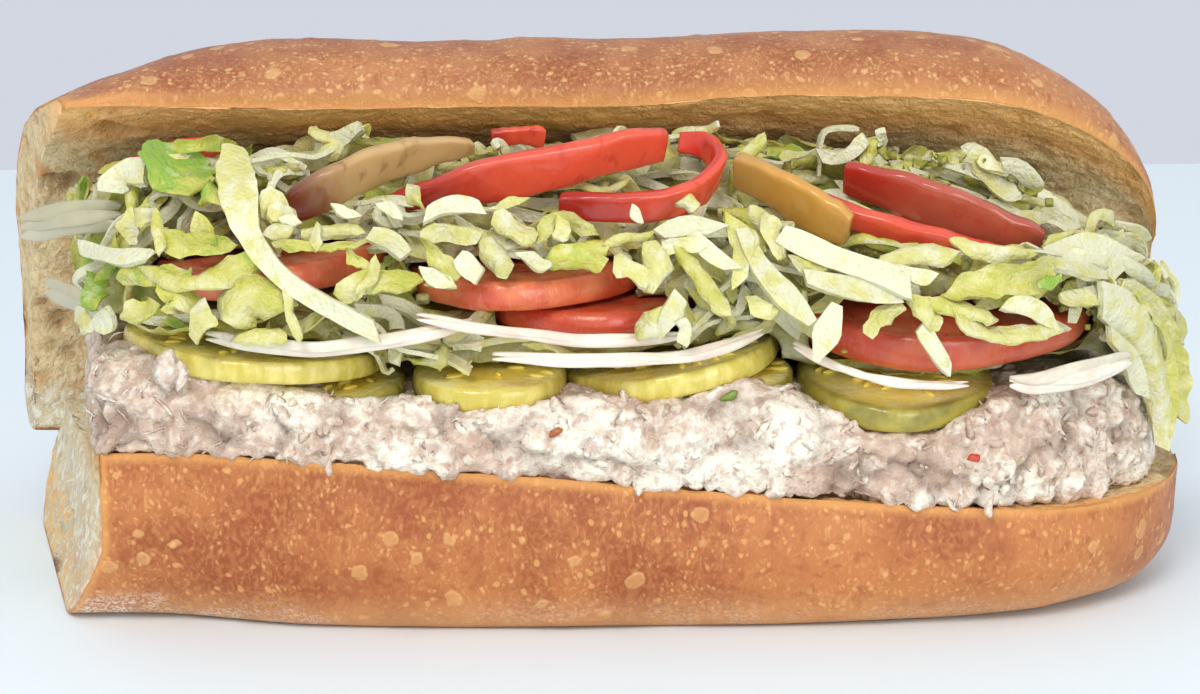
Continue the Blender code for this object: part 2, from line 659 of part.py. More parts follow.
def main():
    """Builds every piece in an emptied scene."""
    for old in list(bpy.data.objects):
        bpy.data.objects.remove(old)
    sandwich = bpy.data.collections.new("tuna salad sandwich")
    bpy.context.scene.collection.children.link(sandwich)
    roll = make_roll(sandwich)
    tuna = make_tuna(sandwich)
    press(tuna, [entry for entry in SLICES if entry[0].startswith("pickle")], [roll])
    make_lettuce(sandwich, [roll, tuna])
    for entry in SLICES:
        make_slice(entry, sandwich)
    for name, points, height, thick in ONIONS:
        make_strip(name, points, height, thick, 0, "onion", sandwich)
    for name, points, height, thick, lean in PEPPERS:
        make_strip(name, points, height, thick, lean, "_".join(name.split("_")[:2]), sandwich)


main()
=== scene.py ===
"""Looks of a tuna salad sandwich: half of a hinged long roll, opened at the front and filled with tuna salad,
pickles, onion, tomato, shredded lettuce and strips of pepper. X runs along the roll, -Y is the open front.

Shapes are worked out in millimetres, and Pile.show() turns each piece into metres.
"""

import math
import random

import bmesh
import bpy
import numpy as np
from mathutils import Matrix, Vector, noise
from mathutils.bvhtree import BVHTree

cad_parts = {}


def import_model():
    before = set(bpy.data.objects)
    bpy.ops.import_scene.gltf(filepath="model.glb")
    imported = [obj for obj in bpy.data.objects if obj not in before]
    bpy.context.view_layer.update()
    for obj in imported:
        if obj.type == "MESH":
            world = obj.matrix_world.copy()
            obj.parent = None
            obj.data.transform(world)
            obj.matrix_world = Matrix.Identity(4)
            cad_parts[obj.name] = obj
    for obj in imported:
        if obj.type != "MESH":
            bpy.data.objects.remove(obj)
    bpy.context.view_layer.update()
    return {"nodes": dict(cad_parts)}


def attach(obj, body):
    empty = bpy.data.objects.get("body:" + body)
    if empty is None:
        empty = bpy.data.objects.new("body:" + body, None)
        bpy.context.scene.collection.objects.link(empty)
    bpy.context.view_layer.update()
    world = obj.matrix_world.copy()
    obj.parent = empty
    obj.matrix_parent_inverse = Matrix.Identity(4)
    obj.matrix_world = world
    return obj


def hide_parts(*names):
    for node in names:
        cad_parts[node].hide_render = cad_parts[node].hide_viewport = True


MM = 0.001

# Roll, with the same measures as the solid
X_LEFT, X_FADE = -85.0, -38.0
CUT_LOW, CUT_UP = (-91.5, -74.5), (-97.0, -83.0)
X_ROUND_LOW, X_END_LOW = 50.0, 93.0
X_ROUND_UP, X_END_UP = 48.0, 94.0
HALF_WIDTH, Y_HINGE, Z_HINGE = 75.0, 38.0, 20.0
FOOT_REACH, FOOT_HEIGHT = 5.0, 13.0
LOW_CORE, UP_CORE = (2.0, 17.5), (25.0, 47.0)
LOW_BACK = [(27, 0), (34, 2), (40, 6), (43.6, 11), (44, 15.5), (41, 18.5)]
UP_CRUMB = [(-5, 75.5), (6, 70), (15, 64.5), (22, 58), (27.5, 50), (31, 42), (33.5, 32), (34.5, 22),
            (35.5, 14.5)]
UP_CRUST = [(-5, 75.5), (-4.2, 79), (2, 82.6), (12, 84), (24, 81), (36, 73.5), (45, 62), (50, 50),
            (51.5, 37), (50, 26), (46, 18), (41, 14), (35.5, 14.5)]
UP_CRUST_CUT = [(-5, 75.5), (-4.2, 76.2), (2, 76), (12, 73.6), (24, 70.6), (35, 66.5), (43, 58), (47.5, 48),
                (50, 37), (50, 26), (46, 18), (41, 14), (35.5, 14.5)]
RING_POINTS = 132       # points of the crust, and as many of the crumb, in a ring
STATION = 0.85          # spacing of the rings
TYPICAL_RING = 40       # the one on which distances from the lip are measured, for all of them
CUT_ROWS, TIP_ROWS = 34, 8      # rows of quads from crust to crumb on the knife cut and on the right tip
CLOSING = 42.0          # stretch before the right end in which the rings draw together

# Tuna: upright flakes and drips (x, y, z, length, width), and coloured bits (name, x, z, length, colour)
TUNA_MESH = 0.62        # spacing of the mesh
FLAKES = 3200           # places that are tried for small flakes
STANDING_FLAKES = [(-64.5, -36, 41, 6.5, 4.4), (-62.5, -36, 40, 5, 2.6), (-41, -39.5, 27, 3.4, 1.0),
                   (56.5, -39, 20, 3.6, 1.2)]
FLECKS = [("fleck_red", 55, 27.5, 1.8, (206, 78, 58)), ("fleck_brown", -9, 33.5, 2.4, (178, 100, 56)),
          ("fleck_green", 18, 39.5, 2.6, (122, 146, 62)), ("fleck_olive", 66, 29.5, 3.2, (176, 180, 104))]

# Round slices: name, centre, half length in x, half depth in y, thickness, pitch and roll in degrees
SLICES = [
    ("pickle_1", (-52.5, -16.0, 40.4), 20.5, 20.0, 3.4, 0, -4),
    ("pickle_2", (-37.2, -20.5, 34.6), 7.0, 12.5, 3.2, 2, 3),
    ("pickle_3", (-17.5, -24.0, 36.6), 11.6, 12.4, 3.6, 5, 1),
    ("pickle_4", (10.5, -18.6, 38.2), 17.0, 17.5, 3.6, 1, 11),
    ("pickle_5", (23.6, -22.5, 36.2), 5.0, 9.6, 3.0, 2, 0),
    ("pickle_6", (44.0, -20.6, 35.2), 15.0, 16.8, 3.8, 10, -2),
    ("tomato_1", (-50.5, -12.5, 53.2), 18.2, 20.5, 4.6, 1, 5),
    ("tomato_2", (-12.5, -12.0, 51.6), 18.6, 23.5, 4.4, 1, 1),
    ("tomato_3", (-1.0, -10.5, 47.1), 18.6, 24.0, 3.8, 1, 1),
    ("tomato_4", (50.5, -10.5, 46.6), 24.6, 25.0, 5.6, 11, -1),
]

DARK_SLICES = {"pickle_2": 0.75, "pickle_3": 0.1, "pickle_5": 0.8, "pickle_6": 0.85, "tomato_3": 0.5,
               "tomato_4": 0.5}
RIM_ROUND = {"pickle": 0.9, "tomato": 1.3}      # how far in from the rim it starts to round off
SLICE_SIDES = 120

# Onion: name, points along the strip, height, thickness
ONIONS = [
    ("onion_1", [(-59, -32, 45), (-51, -36.5, 44.7), (-43, -38, 44.6), (-34, -37.5, 45), (-26, -35.5, 46),
                 (-20, -32, 46.8)], 2.4, 1.3),
    ("onion_2", [(-28, -36.4, 48.6), (-20, -37.6, 47.4), (-11, -37.8, 46.2), (-2, -37.4, 45.2),
                 (5, -36.6, 45), (11, -35.2, 45.2)], 1.9, 1.1),
    ("onion_3", [(-17, -37.5, 42.8), (-7, -38.6, 42.6), (3, -38.4, 42.5), (11, -37.4, 42.8), (18, -35, 43.8),
                 (23, -31.5, 44.9)], 1.9, 1.2),
    ("onion_4", [(59.5, -35, 38.2), (64, -36, 38.4), (70, -34.6, 38.8), (75, -31.6, 39), (79, -27.5, 39.4)],
     4.2, 1.2),
    ("onion_5", [(27.5, -34.5, 43.6), (31, -37.5, 42.2), (36, -38.6, 40.4), (42, -38.8, 38.9),
                 (48, -38.4, 38.2), (53, -37, 38)], 1.5, 1.1),
    ("onion_6", [(-90, -6, 57), (-84.5, -11, 58.6), (-79, -14.6, 60), (-73, -16, 60.6)], 5.0, 1.2),
    ("onion_7", [(-87, -3, 47), (-83, -8.4, 46.6), (-79, -13, 46.2), (-75, -16, 46)], 3.6, 1.2),
]

PALE_ONIONS = ("onion_6", "onion_7")
ONION_RINGS, ONION_SIDES = 60, 14

# Pepper strips that narrow: how much at the left end and at the right end
NARROW_ENDS = {"pepper_red_1": (0.5, 0.0), "pepper_yellow_1": (0.1, 0.5), "pepper_red_3": (0.0, 0.4)}

# Pepper strips: name, points along the strip, height, thickness, lean of the strip's face in degrees
PEPPERS = [
    ("pepper_red_1", [(-32, -23, 63.4), (-23, -24.5, 65.6), (-15, -24, 67.2), (-6, -22.6, 68.8),
                      (2, -20, 70.4), (9, -17, 71)], 7.0, 2.2, 24),
    ("pepper_red_2", [(-7, -25.5, 63.4), (-1, -26.5, 63.0), (7, -26.5, 63.2), (13.5, -24, 64.6),
                      (17, -19, 67.6), (16, -14, 70), (12, -11.5, 70.4)], 4.4, 2.2, 20),
    ("pepper_red_3", [(27, -16.5, 64.4), (34, -21.5, 61.6), (43, -24.5, 59.2), (53, -25.5, 56.6),
                      (61, -24.5, 54.8)], 4.2, 2.4, 28),
    ("pepper_red_4", [(37, -15, 65.6), (45, -18.4, 63.6), (53, -20.2, 61), (60.5, -20.8, 58),
                      (66, -20.4, 55.8)], 6.8, 2.4, 24),
    ("pepper_red_5", [(-17, -11.5, 71), (-13, -10.6, 71.6), (-9, -9.4, 71.2)], 3.2, 1.8, 10),
    ("pepper_red_6", [(-72, -9, 66.6), (-67, -7, 68.4), (-59, -6, 69.6)], 3.4, 1.8, 20),
    ("pepper_yellow_1", [(-47, -26, 63), (-41, -25.5, 66), (-34, -21, 68.6), (-26, -16.5, 70),
                         (-20, -13.5, 70.4)], 6.4, 2.2, 22),
    ("pepper_yellow_2", [(20, -19, 67.4), (25, -22.5, 65.4), (31, -26.5, 62.4), (36, -29, 60)], 7.4, 2.2, 26),
]
PEPPER_RINGS, PEPPER_SIDES = 90, 36

# Lettuce
CORE_MESH = 1.3         # spacing of the mesh of the heap under the shreds
SHREDS, STRANDS = 700, 300      # loose shreds, and how many of them are long ones along the front
SPOTS = 5200            # places on the heap that are tried for them
FACING = np.array([0, -0.92, 0.39])
FRONT_HEIGHTS, FRONT_REACH = [42, 50, 55, 60, 66, 70, 74], [-39, -38.5, -36.5, -33, -29, -24, -14]
NARROWER = 0.78         # the strips bend, so less than their full width is seen

# Shreds that show most, seen from the front: x and z of their points, width, how green from 0 for a rib to 1
# for a leaf, how far in front of the heap, and twist in degrees. Some widths and greens change on the way.
FRONT_SHREDS = [
    ([(-55.5, 72), (-54, 66.5), (-52, 60.5), (-47, 55), (-39.5, 50.5), (-32.5, 47)],
     [8, 7.5, 4, 3.2, 3.6, 4.6], [0.32, 0.26, 0.16, 0.1, 0.06, 0.04], 2.5, 0),
    ([(-46.5, 54.5), (-46, 50), (-44.5, 46)], 2, 0.4, 2.5, 0),
    ([(-65, 72), (-63, 68.5), (-62, 65)], [13, 12, 9], 0.95, -1, 0),
    ([(-59, 67.5), (-57.5, 65.5), (-57.5, 64)], 6, 0.8, 0, 0),
    ([(-74.5, 64), (-72, 67.5), (-67.5, 68)], 5.5, 0.15, 0, 0),
    ([(-69, 64), (-68, 62.5), (-67, 61.5)], 4.5, 0.3, 0.5, 0),
    ([(-71.5, 58.5), (-70.5, 60.5), (-69, 63)], 4.5, 0.3, 0, 0),
    ([(-79.5, 56), (-72, 56.5), (-66.5, 57.5)], 3.2, 0.04, 1, 0),
    ([(-68.5, 56.5), (-61.5, 54.5), (-54, 56), (-49.5, 57)], 5, 0.6, 1, 0),
    ([(-67, 59.5), (-61, 59), (-54, 59.5)], 4.5, 0.65, 0, 0),
    ([(-66, 64), (-65.5, 60.5), (-65, 57.5)], 2.2, 0.4, 1, 0),
    ([(-79, 52), (-77, 50.5), (-75.5, 48.5)], 6, 1.05, -1, 0),
    ([(-72.5, 54), (-67, 54.5), (-60.5, 55.5)], 4.5, 0.75, 0, 0),
    ([(-71, 49.5), (-68, 49.5), (-65.5, 50.5)], 5.5, 0.5, 1, 0),
    ([(-65, 51.5), (-62.5, 52.5), (-61, 49)], 7, 0.6, 0.5, 0),
    ([(-80.5, 46), (-78.5, 46), (-77.5, 44)], 3, 0.25, 1, 0),
    ([(-76.5, 44.5), (-74, 47), (-72.5, 49)], 4, 0.12, 2, 0),
    ([(-59, 45.5), (-58.5, 49.5), (-57.5, 52)], 5.5, 0.35, 2, 0),
    ([(-55.5, 48.5), (-52, 52), (-45.5, 50)], 8, 0.5, 1, 0),
    ([(-55, 45.5), (-50.5, 47), (-46.5, 46.5)], 4, 0.4, 1, 0),
    ([(-61, 63), (-59, 60.5), (-57.5, 58.5)], 4, 0.6, 0, 0),
    ([(-51.5, 63.5), (-49, 65), (-47.5, 62)], 5.5, 0.3, 0, 0),
    ([(-50, 59.5), (-47, 61.5), (-48, 64.5)], 4, 0.25, 0, 0),
    ([(-40, 65), (-38.5, 63.5), (-36, 62.5)], 2.2, 0.05, 2, 0),
    ([(-48, 63), (-46.5, 62.5), (-45, 61.5)], 2.2, 0.02, 1, 0),
    ([(-43, 62), (-42.5, 59.5), (-42, 58)], 2.4, 0.3, 1, 0),
    ([(-49, 59), (-42, 59), (-34, 59.5)], 2.4, 0.55, 1, 0),
    ([(-45, 60.5), (-40.5, 61), (-35.5, 60)], 3, 0.35, 0, 0),
    ([(-30, 67), (-28.5, 65.5), (-26.5, 64.5)], 4.5, 0.35, 3, 30),
    ([(-27.5, 62.5), (-24.5, 64), (-21, 64.5), (-17.5, 64)], 3.2, 0.05, 2, 0),
    ([(-17.5, 64), (-14.5, 64.5), (-11.5, 65.5)], 2, 0.4, 1, 0),
    ([(-35, 60.5), (-32, 59.5), (-29.5, 57.5)], 4, 0.2, 1, 0),
    ([(-33.5, 65), (-31.5, 63.5), (-30.5, 62)], 2.2, 0.15, 1, 0),
    ([(-27.5, 60), (-23.5, 60.5), (-18.5, 59.5)], 3.5, 0.3, 0.5, 0),
    ([(-27.5, 59.5), (-24.5, 56.5), (-21.5, 55)], 4.5, 0.55, 1, 0),
    ([(-22, 57.5), (-19.5, 55.5), (-18.5, 54.5)], 3.8, 0.04, 1.5, 0),
    ([(-18, 60), (-16.5, 57.5), (-16, 54)], 5, 0.3, 0.5, 20),
    ([(-17, 62.5), (-14, 61), (-10.5, 59.5)], 4.6, 0.3, 0.5, 0),
    ([(-13, 58.5), (-10.5, 56.5), (-8.5, 55.5)], 2.8, 0.15, 1, 0),
    ([(-10, 59), (-7, 62), (-1, 60.5)], 4, 0.45, 0.5, 0),
    ([(-7, 63), (-6.5, 61), (-7.5, 59.5)], 3, 0.3, 1, 0),
    ([(-10, 57), (-5.5, 57.5), (1, 58.5)], 5, 0.75, 0.5, 0),
    ([(-7.5, 56), (-3.5, 56.5), (0, 56.5)], 3.5, 0.6, 1, 0),
    ([(-1, 59), (3, 59.5), (7, 60.5)], 2.2, 0.45, 1, 0),
    ([(3, 64), (4, 63), (5.5, 62.5)], 2.4, 0.02, 2, 0),
    ([(-39.5, 52), (-36, 54), (-31, 54.5), (-27, 54)], 4.8, 0.6, 1.5, 0),
    ([(-33.5, 58), (-34.5, 55), (-37, 52)], 2.2, 0.5, 2.5, 0),
    ([(-38.5, 58.5), (-36.5, 57), (-34.5, 55.5)], 2.6, 0.55, 1.5, 0),
    ([(-27, 56.5), (-25, 54.5), (-22, 54)], 2.8, 0.1, 1.5, 0),
    ([(-26.5, 53), (-23, 56), (-22.5, 56.5)], 3, 0.4, 0, 0),
    ([(4.5, 58.5), (6.5, 56), (7.5, 52.5)], 6, 0.35, 1, 20),
    ([(0.5, 56.5), (3.5, 55.5), (6, 53.5)], 4, 0.3, 1, 0),
    ([(8, 51.5), (6.5, 48.5), (5, 45)], 5.5, 0.3, 1, 0),
    ([(10.5, 52.5), (9, 49.5), (8.5, 45.5)], 4, 0.15, 1.5, 0),
    ([(10, 65), (11.5, 64.5), (13, 63.5)], 3.2, 0.3, 2, 20),
    ([(7, 60), (12, 61.5), (17.5, 60.5)], 3.4, 0.05, 1.5, 0),
    ([(7.5, 58.5), (11.5, 59), (14, 58)], 3, 0.25, 1.5, 0),
    ([(8.5, 59.5), (12, 56.5), (15, 53), (18, 49.5)], [3, 4, 4.5, 4], 0.5, 1.5, 0),
    ([(12, 60.5), (15, 57.5), (19, 55)], 3, 0.15, 1, 0),
    ([(18, 63.5), (20, 60), (19.5, 56.5), (18.5, 52.5)], [5, 5, 4, 3], 0.3, 1, 0),
    ([(19.5, 61), (22, 56), (26, 51.5), (29.5, 48)], [3, 4, 4.5, 3], 0.15, 1.5, 0),
    ([(21.5, 64), (23, 61.5), (24, 58.5)], 3.4, 0.25, 0.5, 0),
    ([(23.5, 63), (24, 60.5), (25.5, 57)], [4.5, 3.5, 2.5], 0.3, 1.5, 0),
    ([(25, 60.5), (32, 57.5), (39.5, 55), (44.5, 53)], [4, 4.6, 5, 5.4], 0.02, 2.5, 0),
    ([(28, 54.5), (34.5, 53), (43, 52)], 4, 0.15, 1.5, 0),
    ([(26, 57), (29.5, 55.5), (32, 56.5)], 2.6, 0.4, 1, 0),
    ([(39.5, 55.5), (45, 57.5), (52, 57)], 4.2, 0.3, 1, 0),
    ([(32.5, 57), (35, 56), (38, 55)], 3, 0.35, 0.5, 0),
    ([(41.5, 55.5), (44.5, 54.5), (48, 54)], 2.8, 0.15, 1, 0),
    ([(48, 52.5), (57.5, 53.5), (67.5, 53.5)], 7, 0.5, 1.5, 0),
    ([(63.5, 52), (65, 53), (66.5, 54)], 2.6, 1.3, 3, 0),
    ([(65, 55.5), (72.5, 55), (81, 52)], [7, 9, 8], 0.1, 1, 0),
    ([(67, 50), (74, 49.5), (79.5, 48)], 3.4, 0.3, 1, 0),
    ([(43.5, 53), (46, 50), (48.5, 47.5)], 5.5, 0.4, 2, 0),
    ([(37.5, 46), (39.5, 49), (43, 50.5)], 3.6, 0.35, 1, 0),
    ([(49.5, 49.5), (55, 46.5), (62, 46), (67.5, 46)], [3.5, 5, 4.5, 2.5], 0.35, 2.5, 0),
    ([(46.5, 51), (53.5, 49.5), (57, 47.5)], 3.6, 0.4, 2, 0),
    ([(57, 50.5), (62, 49.5), (67, 46)], 3.4, 0.2, 2, 0),
    ([(33, 51), (31.5, 46.5), (30, 42.5)], [3, 5, 1.5], 0.05, 2, 0),
    ([(45, 48), (47.5, 44), (50, 40.5)], [3, 3.6, 2], 0.03, 2, 0),
    ([(10, 49), (11, 47.5), (10.5, 45)], 2.4, 0.03, 2, 0),
    ([(19.5, 51.5), (23.5, 49.5), (25, 50)], 3, 0.5, 1, 0),
    ([(50.5, 59.5), (55.5, 57), (64, 56)], 3, 0.35, 0, 0),
    ([(64.5, 56.5), (70.5, 57.5), (78, 55.5)], 4, 0.45, -1, 0),
    ([(72.5, 50), (79.5, 45), (84, 37), (86.5, 28.5), (86.5, 23)],
     [7, 8.5, 8, 6, 4], [0.12, 0.2, 0.35, 0.2, 0.1], 2, 0),
    ([(77.5, 52), (85, 44), (89, 35), (91, 25.5)], [4, 6, 5.5, 4], [0.2, 0.35, 0.5, 0.3], 1.5, 0),
    ([(74.5, 44.5), (79, 39.5), (82, 32.5)], [3, 4, 3], 0.1, 3, 0),
    ([(79.5, 50), (86, 42), (88, 32), (87.5, 25)], 2.2, 0.55, 3.5, 0),
]

# Camera, matched to the photograph
AZIMUTH, ELEVATION = -2.0, 12.0
LENS = 85.0
LOOK_AT = (0.0, 0.0, 38.0)
DISTANCE = 452.0
SHIFT_Y = -0.01

# Stage, in metres: lights by place, size, power and colour
FLOOR_SIDE, FLOOR_NEAR, FLOOR_FAR = 2.0, -1.2, 0.43
BACKDROP_Y, BACKDROP_SIDE, BACKDROP_LOW, BACKDROP_HIGH = 1.5, 3.0, -1.5, 2.0
LIGHTS = {"key": ((-0.25, -0.8, 0.8), 0.45, 5.4, (1.0, 0.98, 0.95)),
          "fill": ((0.45, -1.0, 0.22), 0.6, 3.4, (1.0, 0.99, 0.97))}
LIT_PLACE = (0, 0, 0.04)
WORLD_COLOUR, WORLD_STRENGTH = (0.98, 0.99, 1.0, 1), 0.78


# Numbers

def lerp(a, b, t):
    return a + (b - a) * t


def smooth(t):
    """0 below 0, 1 above 1, and a soft step between."""
    t = np.clip(t, 0.0, 1.0)
    return t * t * (3 - 2 * t)


def curve(points, count):
    """count points on a smooth curve through the given ones."""
    p = np.array(points, float)
    p = np.vstack([2 * p[0] - p[1], p, 2 * p[-1] - p[-2]])
    u = np.linspace(0, len(p) - 3, count)
    k = np.minimum(u.astype(int), len(p) - 4)
    t = (u - k)[:, None]
    a, b, c, d = p[k], p[k + 1], p[k + 2], p[k + 3]
    bend, turn = 2 * a - 5 * b + 4 * c - d, 3 * b - a - 3 * c + d
    return 0.5 * (2 * b + (c - a) * t + bend * t ** 2 + turn * t ** 3)


def run_along(points):
    """How far along a polyline each of its points lies."""
    return np.concatenate(([0], np.cumsum(np.linalg.norm(np.diff(points, axis=0), axis=1))))


def spaced(points, count, crowd=1.0):
    """count points along a polyline. crowd over 1 packs them near its start."""
    p = np.array(points, float)
    run = run_along(p)
    at = run[-1] * np.linspace(0, 1, count) ** crowd
    return np.stack([np.interp(at, run, p[:, k]) for k in range(p.shape[1])], 1)


def grain(points, size, seed=0.0):
    """Soft random value from about -1 to 1 at each point, for lumps of a size, one number or three."""
    scaled = np.asarray(points, float) / np.array(size) + seed
    return np.array([noise.noise(p) for p in scaled.tolist()])


def shaken(points, size, amount, seeds=(1.0, 2.0, 3.0)):
    """The points, each moved a little at random, together with its neighbours."""
    return points + amount * np.stack([grain(points, size, seed) for seed in seeds], 1)


def cells(points, size, seed=0.0):
    """Distance to the middle of the nearest random cell, in cells, and that cell's own random number."""
    scaled = (np.asarray(points, float) / np.array(size) + seed).tolist()
    near, own = np.empty(len(scaled)), np.empty(len(scaled))
    for i, p in enumerate(scaled):
        distances, centres = noise.voronoi(p)
        near[i] = distances[0]
        c = centres[0]
        own[i] = math.sin(c[0] * 12.99 + c[1] * 78.23 + c[2] * 37.72) * 43758.5453 % 1.0
    return near, own


def holes(points, size, seed, share, radius=0.42):
    """Depth, from 0 to 1, of round holes in a share of the random cells."""
    near, own = cells(points, size, seed)
    wide = radius * (0.5 + own / share * 0.6)
    return np.where(own < share, np.sqrt(np.clip(1 - (near / wide) ** 2, 0, 1)), 0)


# Meshes

class Pile:
    """The vertices, faces and named vertex values of one piece, gathered part by part, in millimetres."""

    def __init__(self):
        self.points, self.faces, self.values, self.count = [], [], {}, 0

    def add(self, points, faces, **values):
        points = np.asarray(points, float)
        self.points.append(points)
        self.faces.extend((np.asarray(f) + self.count).tolist() for f in faces)
        self.count += len(points)
        for key, value in values.items():
            self.values.setdefault(key, []).append(np.broadcast_to(np.asarray(value, float), len(points)))

    def show(self, name, finish, slot, nodes, crease=None):
        """Makes the piece, in place of the given nodes of the solid."""
        mesh = bpy.data.meshes.new(name)
        mesh.from_pydata((np.concatenate(self.points) * MM).tolist(), [], self.faces)
        for key, parts in self.values.items():
            layer = mesh.attributes.new(key, "FLOAT", "POINT")
            layer.data.foreach_set("value", np.concatenate(parts).astype(np.float32))
        made = bpy.data.objects.new(name, mesh)
        bpy.context.scene.collection.objects.link(made)
        return dress(made, finish, nodes, crease)


def dress(made, finish, nodes, crease=None):
    """Gives a piece its material and its place in the frame. Edges over crease, in degrees, stay sharp."""
    bm = bmesh.new()
    bm.from_mesh(made.data)
    bmesh.ops.recalc_face_normals(bm, faces=bm.faces)
    bm.to_mesh(made.data)
    bm.free()
    made.data.materials.clear()
    made.data.materials.append(finish)
    made.data.shade_smooth()
    if crease:
        made.data.set_sharp_from_angle(angle=math.radians(crease))
    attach(made, "root")
    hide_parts(*nodes)
    return made


def quads(rows, columns, closed=True):
    """Faces of a grid of vertices, whose rows close on themselves."""
    across = columns if closed else columns - 1
    return [(r * columns + c, r * columns + (c + 1) % columns, (r + 1) * columns + (c + 1) % columns,
             (r + 1) * columns + c) for r in range(rows - 1) for c in range(across)]


def tube(rings, sides):
    """Faces of a row of rings, with both ends shut."""
    last = (rings - 1) * sides
    return quads(rings, sides) + [tuple(range(sides))[::-1], tuple(range(last, last + sides))]


def relief(obj, shape):
    """Moves each vertex along its normal by what shape() gives for its place, in millimetres, and stores the
    values that come with it."""
    mesh = obj.data
    flat = np.empty(len(mesh.vertices) * 3)
    mesh.vertices.foreach_get("co", flat)
    places = flat.reshape(-1, 3) / MM
    normals = np.empty(len(mesh.vertices) * 3, np.float32)
    mesh.vertex_normals.foreach_get("vector", normals)
    normals = normals.reshape(-1, 3)
    shift, values = shape(places, normals, mesh)
    places = places + normals * shift[:, None]
    places[:, 2] = np.maximum(places[:, 2], 0.0)
    mesh.vertices.foreach_set("co", (places * MM).ravel())
    for key, value in values.items():
        layer = mesh.attributes.get(key) or mesh.attributes.new(key, "FLOAT", "POINT")
        layer.data.foreach_set("value", value.astype(np.float32))
    mesh.update()


def stored(mesh, key):
    """The values that a piece holds under a name."""
    found = np.empty(len(mesh.vertices), np.float32)
    mesh.attributes[key].data.foreach_get("value", found)
    return found


def remeshed(node, name, voxel):
    """A copy of a node of the solid, as an even mesh of the given spacing."""
    made = node.copy()
    made.data = node.data.copy()
    made.name = name
    made.parent = None
    for key in list(made.keys()):
        del made[key]
    bpy.context.scene.collection.objects.link(made)
    step = made.modifiers.new("even", "REMESH")
    step.mode = "VOXEL"
    step.voxel_size = voxel * MM
    graph = bpy.context.evaluated_depsgraph_get()
    mesh = bpy.data.meshes.new_from_object(made.evaluated_get(graph))
    made.modifiers.clear()
    made.data = mesh
    return made


# Materials

def seen(red, green, blue):
    """A colour as it looks in the photograph, 0 to 255, in the form that shaders take."""
    return tuple(((v / 255 + 0.055) / 1.055) ** 2.4 for v in (red, green, blue)) + (1.0,)


class Field:
    """A value that varies over a surface. Its operators add the shader nodes that work it out."""

    def __init__(self, tree, socket):
        self.tree, self.socket = tree, socket

    def math(self, operation, *operands):
        sockets = {i: operand for i, operand in enumerate(operands)}
        return add_node(self.tree, "ShaderNodeMath", {"operation": operation}, sockets)

    def __add__(self, other):
        return self.math("ADD", self, other)

    def __radd__(self, other):
        return self.math("ADD", other, self)

    def __sub__(self, other):
        return self.math("SUBTRACT", self, other)

    def __rsub__(self, other):
        return self.math("SUBTRACT", other, self)

    def __mul__(self, other):
        return self.math("MULTIPLY", self, other)

    def __rmul__(self, other):
        return self.math("MULTIPLY", other, self)

    def __truediv__(self, other):
        return self.math("DIVIDE", self, other)

    def step(self, low, high):
        """0 below low, 1 above high, and a soft step between; falling where low is above high."""
        ends = {"From Min": min(low, high), "From Max": max(low, high), "Value": self}
        ends.update({"To Min": float(low > high), "To Max": float(low <= high)})
        return add_node(self.tree, "ShaderNodeMapRange", {"interpolation_type": "SMOOTHSTEP"}, ends)

    def mix(self, low, high):
        """A colour from low, where this value is 0, to high, where it is 1."""
        inputs = {0: self, 6: low, 7: high}
        return add_node(self.tree, "ShaderNodeMix", {"data_type": "RGBA"}, inputs, 2)


def add_node(tree, kind, settings, inputs, output=0):
    node = tree.nodes.new(kind)
    for key, value in settings.items():
        setattr(node, key, value)
    for key, value in inputs.items():
        if isinstance(value, Field):
            tree.links.new(value.socket, node.inputs[key])
        else:
            node.inputs[key].default_value = value
    return Field(tree, node.outputs[output])


